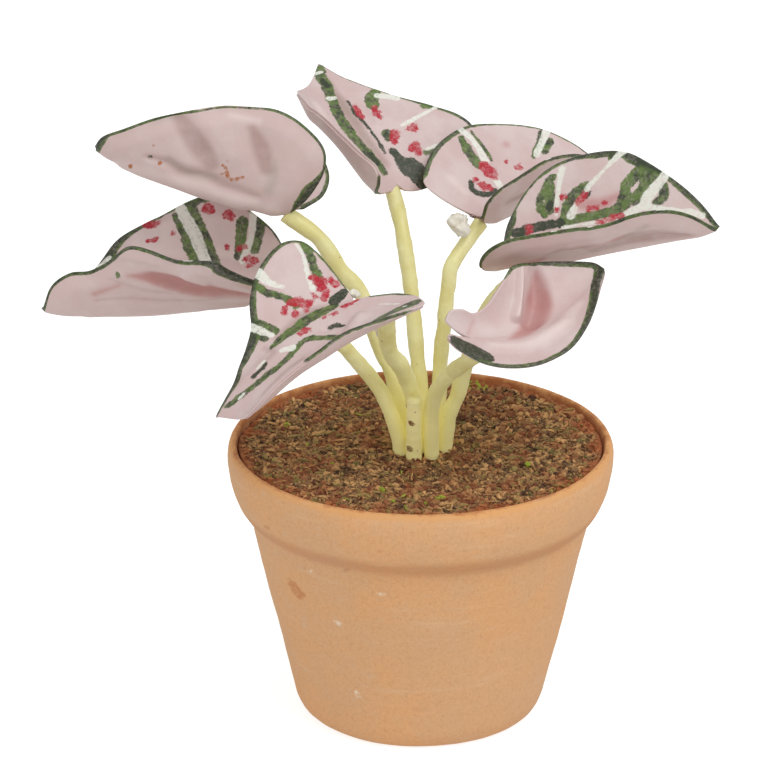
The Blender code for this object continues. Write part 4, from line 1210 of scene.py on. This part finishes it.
def paint_leaf(mesh, name, leaf, length, upper):
    """Writes how far inside each kind of paint every vertex lies, and how strong each soft tone is there."""
    across, along = pattern_places(mesh)
    below = UNDERSIDES.get(name, {})
    paint = {kind: all_strokes(name, kind) for kind in ("white", "green", "red", "dark", "rust")}
    tones = {kind: TONES.get(name, {}).get(kind, ()) for kind in ("shade", "pink_shade", "light", "grey")}
    for measure, kinds in ((inside_strokes, paint), (soft_strokes, tones)):
        for kind, strokes in kinds.items():
            under = measure(across, along, below.get(kind, ()))
            write_attribute(mesh, kind, np.where(upper, measure(across, along, strokes), under))
    write_attribute(mesh, "underside", np.where(upper, 0.0, 1.0))
    over, under = [], []
    for side, half_name in SIDES:
        key = "edge_" + half_name
        rows = edge_rows(leaf, length, side, PAINT[name][key])
        wrap = edge_rows(leaf, length, side, below.get(key, ((0, WRAPPED_PAINT), (1, WRAPPED_PAINT))))
        if key not in below:
            wrap[:, 2] = np.minimum(wrap[:, 2], rows[:, 2])
        over.append(inside_line(across, along, rows))
        under.append(inside_line(across, along, wrap))
    write_attribute(mesh, "edge", np.where(upper, np.maximum(*over), np.maximum(*under)))


def build_leaf(name, settings, finish):
    """A folded blade: a grid laid out on the pattern, folded, thickened downwards and rounded at its edge."""
    leaf = LEAVES[name]
    axes = leaf_axes(leaf)
    length = axes[4]
    deselect_all()
    bpy.ops.mesh.primitive_grid_add(x_subdivisions=GRID_COLUMNS, y_subdivisions=GRID_ROWS, size=2.0)
    blade = take_active(name + "_leaf_blade")
    flat = positions(blade.data)
    across, along = pattern_points(leaf, length, flat[:, 0], (flat[:, 1] + 1.0) / 2.0)
    edge = np.maximum(edge_distance(leaf, length, across, along), 0.0)
    near = np.clip(1.0 - edge / EDGE_ROUNDING, 0.0, 1.0)
    drop = EDGE_ROUNDING * (1.0 - np.sqrt(np.maximum(1.0 - near**2, 0.0)))
    uneven = gentle_waves(across, along, name) * settings.unevenness / MM
    uneven += folds(across, along, FOLDS_ABOVE.get(name, ()))
    points = folded_points(leaf, axes, across, along)
    points += surface_normals(leaf, axes, across, along) * (uneven - drop)[:, None]
    set_positions(blade.data, points * MM)
    write_attribute(blade.data, "across", across)
    write_attribute(blade.data, "along", along)
    keel = np.exp(-((across / KEEL_REACH) ** 2)) * np.sqrt(np.clip(1.0 - along / length, 0.0, 1.0))
    keel *= np.clip((along - KEEL_START) / KEEL_RISE, KEEL_LEAST, 1.0)
    flat_part = EDGE_THICKNESS + (BLADE_THICKNESS - EDGE_THICKNESS) * eased(edge / EDGE_TAPER)
    thick = flat_part + (KEEL_THICKNESS - flat_part) * keel - 2.0 * drop
    group = blade.vertex_groups.new(name="thickness")
    for index, weight in enumerate(np.maximum(thick, EDGE_WALL) / KEEL_THICKNESS):
        group.add([index], float(weight), "REPLACE")
    clean_mesh(blade)
    top_count = len(blade.data.vertices)
    thicken = blade.modifiers.new("thicken", "SOLIDIFY")
    thicken.thickness = KEEL_THICKNESS * MM
    thicken.offset = -1.0
    thicken.vertex_group = group.name
    bpy.ops.object.modifier_apply(modifier=thicken.name)
    upper = np.arange(len(blade.data.vertices)) < top_count
    if name in FOLDS_BELOW:
        places = pattern_places(blade.data)
        lift = np.where(upper, 0.0, folds(*places, FOLDS_BELOW[name]))
        moved = positions(blade.data) - surface_normals(leaf, axes, *places) * lift[:, None] * MM
        set_positions(blade.data, moved)
    paint_leaf(blade.data, name, leaf, length, upper)
    clean_mesh(blade, merge=0.0)
    blade.vertex_groups.clear()
    settle(blade, finish, name + "_leaf")


# Stems

def stem_end(leaf):
    """Where a leaf's stem ends inside its keel."""
    axes = leaf_axes(leaf)
    joint = np.array(leaf["joint"], dtype=float)[:, None]
    top = folded_points(leaf, axes, *joint)[0]
    return tuple(top - axes[3] * (KEEL_THICKNESS - JOINT_OVERLAP))


def build_stem(name, stem, lumpiness, end=(), stations=110, sides_resolution=7):
    """A hand-rolled round stem on its route, with its root sunk straight down in the soil."""
    route = smooth_points((*stem["route"], *end), np.linspace(0.0, 1.0, stations))
    deselect_all()
    bpy.ops.curve.primitive_nurbs_path_add()
    rod = take_active(name)
    data = rod.data
    data.splines.clear()
    data.dimensions = "3D"
    data.bevel_depth = STEM_RADIUS * MM
    data.bevel_resolution = sides_resolution
    data.use_fill_caps = True
    line = data.splines.new("POLY")
    line.points.add(stations)
    low, high = stem["thickness"]
    draw = random.Random(name)
    waves = [(draw.uniform(2.0, 9.0), draw.uniform(0.0, DRAWN_TURN)) for _ in range(4)]
    root = np.array(stem["route"][0]) - (0.0, 0.0, ROOT_DEPTH)
    line.points[0].co = (*root * MM, 1.0)
    line.points[0].radius = low
    for index, point in enumerate(route):
        share = index / (stations - 1)
        swell = sum(math.sin(turns * share * DRAWN_TURN + shift) for turns, shift in waves) / len(waves)
        line.points[index + 1].co = (*point * MM, 1.0)
        line.points[index + 1].radius = (low + (high - low) * share) * (1.0 + lumpiness * swell)
    bpy.ops.object.convert(target="MESH")
    clean_mesh(rod)
    points = positions(rod.data)
    for index, vertex in enumerate(rod.data.vertices):
        place = vertex.co / MM
        lump = 0.05 * noise.noise(place * 0.9) + 0.035 * noise.noise(place * 2.6)
        points[index] += np.array(vertex.normal) * lump * MM
    set_positions(rod.data, points)
    specks = inside_strokes(points[:, 0] / MM, points[:, 2] / MM, stem.get("specks", ()))
    write_attribute(rod.data, "speck", specks)
    return rod


# Pot and soil

def inner_wall_radius(height):
    """The pot's inner radius at a height: a taper from the floor up, then a wider mouth inside the lip."""
    heights = (FLOOR_THICKNESS, MOUTH_HEIGHT, POT_HEIGHT)
    return np.interp(height, heights, (BASE_RADIUS - WALL_THICKNESS, MOUTH_RADIUS, RIM_RADIUS - LIP_THICKNESS))


def round_stretch(start, start_handle, end_handle, end, points):
    """A round stretch of a profile, without its first point."""
    t = np.linspace(0.0, 1.0, points + 1)[1:, None]
    knots = [np.array(knot) for knot in (start, start_handle, end_handle, end)]
    curve = knots[0] * (1 - t) ** 3 + 3 * knots[1] * t * (1 - t) ** 2 + 3 * knots[2] * t**2 * (1 - t)
    return [tuple(point) for point in curve + knots[3] * t**3]


def straight(start, end, points):
    """Evenly spaced points from just after start to end."""
    return [tuple(np.array(start) + (np.array(end) - start) * n / points) for n in range(1, points + 1)]


def pot_profile():
    """(radius, height) from the flat base up the wall, round the lip and down the inside to the floor."""
    base = (9.1, 0.0)
    foot_end = (BASE_RADIUS, 2.2)
    neck = (13.8, POT_HEIGHT - 7.9)
    step_end = (14.3, POT_HEIGHT - 5.85)
    widest = (RIM_RADIUS, POT_HEIGHT - 1.2)
    crest = (RIM_RADIUS - 0.5, POT_HEIGHT)
    inside_lip = (RIM_RADIUS - LIP_THICKNESS, POT_HEIGHT - 0.4)
    mouth = (MOUTH_RADIUS, MOUTH_HEIGHT)
    lip_handles = (RIM_RADIUS - 0.62, POT_HEIGHT), (RIM_RADIUS - 0.72, POT_HEIGHT - 0.1)
    return [
        base,
        *round_stretch(base, (BASE_RADIUS - 0.85, 0.0), (BASE_RADIUS - 0.2, 0.9), foot_end, 9),
        *straight(foot_end, neck, 26),
        *round_stretch(neck, (14.0, POT_HEIGHT - 7.1), (14.05, POT_HEIGHT - 6.4), step_end, 10),
        *round_stretch(step_end, (14.95, POT_HEIGHT - 5.75), (RIM_RADIUS, POT_HEIGHT - 3.5), widest, 18),
        *round_stretch(widest, (RIM_RADIUS, POT_HEIGHT - 0.45), (RIM_RADIUS - 0.2, POT_HEIGHT), crest, 8),
        *round_stretch(crest, *lip_handles, inside_lip, 5),
        *straight(inside_lip, mouth, 10),
        *straight(mouth, (BASE_RADIUS - WALL_THICKNESS, FLOOR_THICKNESS), 8),
    ]


def raise_rings(profile):
    """Extrudes the selected round face from ring to ring of a profile of (radius, height)."""
    for (radius, height), (next_radius, next_height) in zip(profile, profile[1:]):
        move = {"value": (0.0, 0.0, (next_height - height) * MM)}
        bpy.ops.mesh.extrude_region_move(TRANSFORM_OT_translate=move)
        grow = next_radius / radius
        bpy.ops.transform.resize(value=(grow, grow, 1.0), center_override=(0.0, 0.0, next_height * MM))


def select_flat_faces(mesh, height):
    """Selects only the faces that lie flat at a height, in edit mode's mesh."""
    bpy.ops.mesh.select_all(action="DESELECT")
    set_mode("OBJECT")
    for face in mesh.polygons:
        face.select = abs(face.center.z - height * MM) < 1e-7 and abs(face.normal.z) > 0.99
    set_mode("EDIT")


def uneven_radius(points, size, depth, seed):
    """Moves points, in metres, in or out from the Z axis by noise of a size and a depth in mm."""
    moved = points.copy()
    for index, (x, y, z) in enumerate(points):
        radius = math.hypot(x, y)
        if radius < SMOOTH_CENTRE * MM:
            continue
        lift = noise.noise(Vector((x, y, z)) / (size * MM) + Vector((seed, seed * 2.0, 0.0))) * depth * MM
        moved[index, :2] += np.array((x, y)) / radius * lift
    return moved


def build_pot(settings, start=1.0):
    """The pot, raised ring by ring from the bottom face of a disc that is start mm thick."""
    profile = pot_profile()
    deselect_all()
    bpy.ops.mesh.primitive_cylinder_add(
        vertices=settings.sides, radius=profile[0][0] * MM, depth=start * MM, end_fill_type="NGON",
        location=(0.0, 0.0, -start / 2 * MM),
    )
    pot = take_active("pot_body")
    bpy.ops.object.transform_apply(location=True, rotation=True, scale=True)
    set_mode("EDIT")
    bpy.ops.mesh.select_mode(type="FACE")
    select_flat_faces(pot.data, 0.0)
    raise_rings(profile)
    select_flat_faces(pot.data, -start)
    bpy.ops.transform.translate(value=(0.0, 0.0, start * MM))
    set_mode("OBJECT")
    clean_mesh(pot)
    points = uneven_radius(positions(pot.data), size=7.0, depth=0.12, seed=1.0)
    set_positions(pot.data, uneven_radius(points, size=1.1, depth=0.035, seed=5.0))
    x, y, z = positions(pot.data).T / MM
    inner = (np.hypot(x, y) < inner_wall_radius(z) + STAIN_REACH) & (z > STAIN_FOOT)
    inside_stain = 1.0 - 0.6 * rising(z, POT_HEIGHT - STAIN_FADE, STAIN_FADE)
    outside_stain = -0.6 + rising(z, POT_HEIGHT - CREST_STAIN, CREST_STAIN) ** 2
    write_attribute(pot.data, "stain", np.where(inner, inside_stain, outside_stain))
    for name, marks in POT_MARKS.items():
        write_attribute(pot.data, name, np.where(y < 0.0, inside_strokes(x, z, marks), FAR_OUTSIDE))
    settle(pot, terracotta_material(settings), "pot")


def crumb_relief(x, y):
    """Height of the crumbs on the soil's surface, from two sizes of noise."""
    coarse = noise.noise(Vector((x / CRUMB_SIZE, y / CRUMB_SIZE, 3.7)))
    fine = noise.noise(Vector((x * 2.1 / CRUMB_SIZE, y * 2.1 / CRUMB_SIZE, 9.2)))
    return CRUMB_HEIGHT * (0.7 * coarse + 0.3 * fine)


def build_soil_bed(finish, cuts=120):
    """A plug of soil that fills the pot, with relief on its top."""
    top_radius = inner_wall_radius(SOIL_TOP) - BED_CLEARANCE
    deselect_all()
    bpy.ops.mesh.primitive_grid_add(x_subdivisions=cuts, y_subdivisions=cuts, size=2.0)
    bed = take_active("soil_bed")
    x, y, _ = positions(bed.data).T
    round_x = x * np.sqrt(1.0 - y * y / 2.0) * top_radius
    round_y = y * np.sqrt(1.0 - x * x / 2.0) * top_radius
    height = [SOIL_TOP + crumb_relief(*place) for place in zip(round_x, round_y)]
    set_positions(bed.data, np.column_stack((round_x, round_y, height)) * MM)
    bottom = FLOOR_THICKNESS + SOIL_GAP
    shrink = (inner_wall_radius(bottom) - SOIL_GAP) / top_radius
    set_mode("EDIT")
    bpy.ops.mesh.select_mode(type="EDGE")
    bpy.ops.mesh.select_all(action="DESELECT")
    bpy.ops.mesh.select_non_manifold()
    bpy.ops.mesh.extrude_region_move(TRANSFORM_OT_translate={"value": (0.0, 0.0, (bottom - SOIL_TOP) * MM)})
    bpy.ops.transform.resize(value=(shrink, shrink, 0.0), center_override=(0.0, 0.0, bottom * MM))
    bpy.ops.mesh.edge_face_add()
    set_mode("OBJECT")
    clean_mesh(bed)
    depth = (positions(bed.data)[:, 2] / MM - SOIL_TOP) / CRUMB_HEIGHT
    write_attribute(bed.data, "tint", np.clip(0.25 + 0.5 * depth, 0.0, 0.6))
    settle(bed, finish, "soil")


def crumb_shape(name, subdivisions, seed):
    """One rough crumb about a unit across: its object, its points and its faces."""
    deselect_all()
    bpy.ops.mesh.primitive_ico_sphere_add(subdivisions=subdivisions, radius=0.5)
    crumb = take_active(name)
    points = positions(crumb.data)
    for index, point in enumerate(points):
        dent = noise.noise(Vector(point) * 2.3 + Vector((seed, 0.0, seed))) * 0.55
        points[index] = point * (1.0 + dent)
    return crumb, points, [tuple(face.vertices) for face in crumb.data.polygons]


def scatter_crumbs(name, count, sizes, subdivisions, finish, seed, slim=1.0, paler=0.0):
    """Crumbs strewn over the soil, each turned, stretched and tinted by a seeded draw."""
    draw = random.Random(seed)
    shapes = [crumb_shape(name, subdivisions, variant * 3.1) for variant in range(4)]
    stems = [stem["route"][0][:2] for stem in (*STEMS.values(), CUT_STEM)]
    vertices, faces, looks = [], [], {"tint": [], "olive": [], "moss": []}
    top_radius = inner_wall_radius(SOIL_TOP)
    total = 0
    for _ in range(count):
        _, shape, shape_faces = draw.choice(shapes)
        size = draw.uniform(*sizes)
        reach = (top_radius - CRUMB_CLEARANCE - size / 2) * math.sqrt(draw.random())
        angle = draw.uniform(0.0, FULL_TURN)
        x, y = reach * math.cos(angle), reach * math.sin(angle)
        if any(math.hypot(x - sx, y - sy) < STEM_RADIUS + CRUMB_CLEARANCE for sx, sy in stems):
            continue
        turn = Matrix.Rotation(draw.uniform(0.0, DRAWN_TURN), 3, "Z")
        turn = turn @ Matrix.Rotation(draw.uniform(-0.7, 0.7), 3, "X")
        stretch = (draw.uniform(0.8, 1.5), draw.uniform(0.6, 1.1) * slim, draw.uniform(0.6, 1.1) * slim)
        shift = (x, y, SOIL_TOP + crumb_relief(x, y) + draw.uniform(-0.1, 0.22) * size)
        vertices.append(shape @ np.array(turn @ Matrix.Diagonal(stretch)).T * size + np.array(shift))
        faces += [tuple(index + total for index in face) for face in shape_faces]
        total += len(shape)
        tint = draw.uniform(0.0, 1.05) ** 1.3 + paler
        olive = 0.6 if draw.random() < OLIVE_SHARE else 0.0
        mossy = any(math.hypot(x - mx, y - my) < width for mx, my, width in MOSS_PATCHES)
        moss = 0.8 if draw.random() < (PATCH_MOSS_SHARE if mossy else MOSS_SHARE) else 0.0
        for values, value in zip(looks.values(), (tint, olive, moss)):
            values += [value] * len(shape)
    for crumb, _, _ in shapes[1:]:
        bpy.data.objects.remove(crumb, do_unlink=True)
    crumbs = shapes[0][0]
    crumbs.name = name
    crumbs.data.clear_geometry()
    crumbs.data.from_pydata((np.vstack(vertices) * MM).tolist(), [], faces)
    for look, values in looks.items():
        write_attribute(crumbs.data, look, values)
    settle(crumbs, finish)


def build_glue(name, centre, radius, finish, seed):
    """A small lump that holds a leaf's stem."""
    deselect_all()
    bpy.ops.mesh.primitive_ico_sphere_add(subdivisions=4, radius=radius * MM)
    lump = take_active(name)
    points = positions(lump.data) / MM
    for index, point in enumerate(points):
        place = Vector(point) + Vector((seed, seed, 0.0))
        dent = noise.noise(place * 1.5) * 0.7 + noise.noise(place * 4.0) * 0.25
        points[index] = point * (1.0 + dent) + np.array(centre)
    set_positions(lump.data, points * MM)
    bpy.ops.object.shade_smooth()
    settle(lump, finish)


# Operators

class CaladiumBuildPot(bpy.types.Operator):
    """Builds the terracotta pot"""

    bl_idname = "caladium.build_pot"
    bl_label = "Build Pot"

    def execute(self, context):
        build_pot(context.scene.caladium_pot)
        return {"FINISHED"}


class CaladiumBuildSoil(bpy.types.Operator):
    """Builds the soil with its crumbs"""

    bl_idname = "caladium.build_soil"
    bl_label = "Build Soil"

    def execute(self, context):
        settings = context.scene.caladium_soil
        finish = soil_material(settings)
        build_soil_bed(finish)
        scatter_crumbs("soil_crumbs", settings.big_crumbs, (0.24, 0.62), 2, finish, 11)
        scatter_crumbs("soil_grit", settings.small_crumbs, (0.15, 0.4), 1, finish, 12)
        scatter_crumbs("soil_fibres", settings.fibres, (0.5, 1.1), 1, finish, 13, slim=0.3, paler=0.25)
        return {"FINISHED"}


class CaladiumBuildStems(bpy.types.Operator):
    """Builds the seven stems and the cut stem"""

    bl_idname = "caladium.build_stems"
    bl_label = "Build Stems"

    def execute(self, context):
        settings = context.scene.caladium_stems
        green = stem_material("stem_clay_finish", settings.clay, settings.clay_warm, 0.0)
        cream = stem_material("cut_stem_finish", settings.cut_clay, settings.clay_warm, 0.01)
        for name, stem in STEMS.items():
            rod = build_stem(name + "_stem_rod", stem, settings.lumpiness, [stem_end(LEAVES[name])])
            settle(rod, green, name + "_stem")
        rod = build_stem("cut_stem_rod", CUT_STEM, settings.lumpiness, stations=24)
        settle(rod, cream, "cut_stem")
        return {"FINISHED"}


class CaladiumBuildGlue(bpy.types.Operator):
    """Builds the lumps of glue at the leaf joints"""

    bl_idname = "caladium.build_glue"
    bl_label = "Build Glue"

    def execute(self, context):
        finish = glue_material()
        for number, (centre, radius) in enumerate(GLUE_LUMPS):
            build_glue(f"glue_{number + 1}", centre, radius, finish, number * 1.7)
        return {"FINISHED"}


class CaladiumBuildLeaves(bpy.types.Operator):
    """Builds the seven painted leaves"""

    bl_idname = "caladium.build_leaves"
    bl_label = "Build Leaves"

    def execute(self, context):
        settings = context.scene.caladium_leaves
        finish = leaf_material(settings)
        for name in LEAVES:
            build_leaf(name, settings, finish)
        return {"FINISHED"}


class CaladiumBuildStage(bpy.types.Operator):
    """Sets up the floor, the lights and the camera"""

    bl_idname = "caladium.build_stage"
    bl_label = "Build Stage"

    def execute(self, context):
        settings = context.scene.caladium_stage
        white = (1.0, 1.0, 1.0, 1.0)
        deselect_all()
        bpy.ops.mesh.primitive_plane_add(size=6.0)
        floor = take_active("studio_floor")
        made, tree, shader = new_material("studio_white")
        grey = (0.5, 0.5, 0.5, 1.0)
        for name, value in (("Base Color", grey), ("Roughness", 0.9), ("Emission Color", white)):
            shader.inputs[name].default_value = value
        seen = node(tree, "ShaderNodeLightPath").outputs["Is Camera Ray"]
        tree.links.new(maths(tree, "MULTIPLY_ADD", seen, 0.4, 0.36), shader.inputs["Emission Strength"])
        floor.data.materials.append(made)
        for label, place, size, power in (
            ("key", (0.35, -0.4, 0.75), 0.5, 3.6),
            ("fill", (-0.6, -0.5, 0.4), 0.6, 0.8),
        ):
            bpy.ops.object.light_add(type="AREA", location=place)
            light = bpy.context.active_object
            light.name = label + "_light"
            light.data.size = size
            light.data.energy = power
            aim = Vector((0.0, 0.0, 0.03)) - Vector(place)
            light.rotation_euler = aim.to_track_quat("-Z", "Y").to_euler()
        world = bpy.data.worlds.new("studio_light")
        world.use_nodes = True
        background = world.node_tree.nodes["Background"].inputs
        background["Color"].default_value = white
        background["Strength"].default_value = 0.62
        context.scene.world = world
        context.scene.view_settings.view_transform = "Standard"
        back = Vector((0.0, -math.cos(settings.elevation), math.sin(settings.elevation)))
        bpy.ops.object.camera_add(
            location=Vector(settings.target) + back * settings.distance,
            rotation=(math.pi / 2 - settings.elevation, 0.0, 0.0),
        )
        camera = bpy.context.active_object
        camera.data.lens = settings.lens
        camera.data.sensor_width = 36.0
        camera.data.clip_start = 0.01
        context.scene.camera = camera
        return {"FINISHED"}


class CaladiumPanel(bpy.types.Panel):
    bl_idname = "VIEW3D_PT_caladium"
    bl_label = "Potted Caladium"
    bl_space_type = "VIEW_3D"
    bl_region_type = "UI"
    bl_category = "Caladium"

    def draw(self, context):
        for operator, _ in STEPS:
            self.layout.operator(operator.bl_idname)


STEPS = (
    (CaladiumBuildPot, bpy.ops.caladium.build_pot),
    (CaladiumBuildSoil, bpy.ops.caladium.build_soil),
    (CaladiumBuildStems, bpy.ops.caladium.build_stems),
    (CaladiumBuildGlue, bpy.ops.caladium.build_glue),
    (CaladiumBuildLeaves, bpy.ops.caladium.build_leaves),
    (CaladiumBuildStage, bpy.ops.caladium.build_stage),
)
SETTINGS = {
    "caladium_leaves": CaladiumLeafSettings,
    "caladium_stems": CaladiumStemSettings,
    "caladium_soil": CaladiumSoilSettings,
    "caladium_pot": CaladiumPotSettings,
    "caladium_stage": CaladiumStageSettings,
}
CLASSES = (*SETTINGS.values(), *(operator for operator, _ in STEPS), CaladiumPanel)


def register():
    for one in CLASSES:
        bpy.utils.register_class(one)
    for name, group in SETTINGS.items():
        setattr(bpy.types.Scene, name, bpy.props.PointerProperty(type=group))


def unregister():
    for name in SETTINGS:
        delattr(bpy.types.Scene, name)
    for one in reversed(CLASSES):
        bpy.utils.unregister_class(one)


def main():
    register()
    for _, step in STEPS:
        step()


if __name__ == "__main__":
    main()
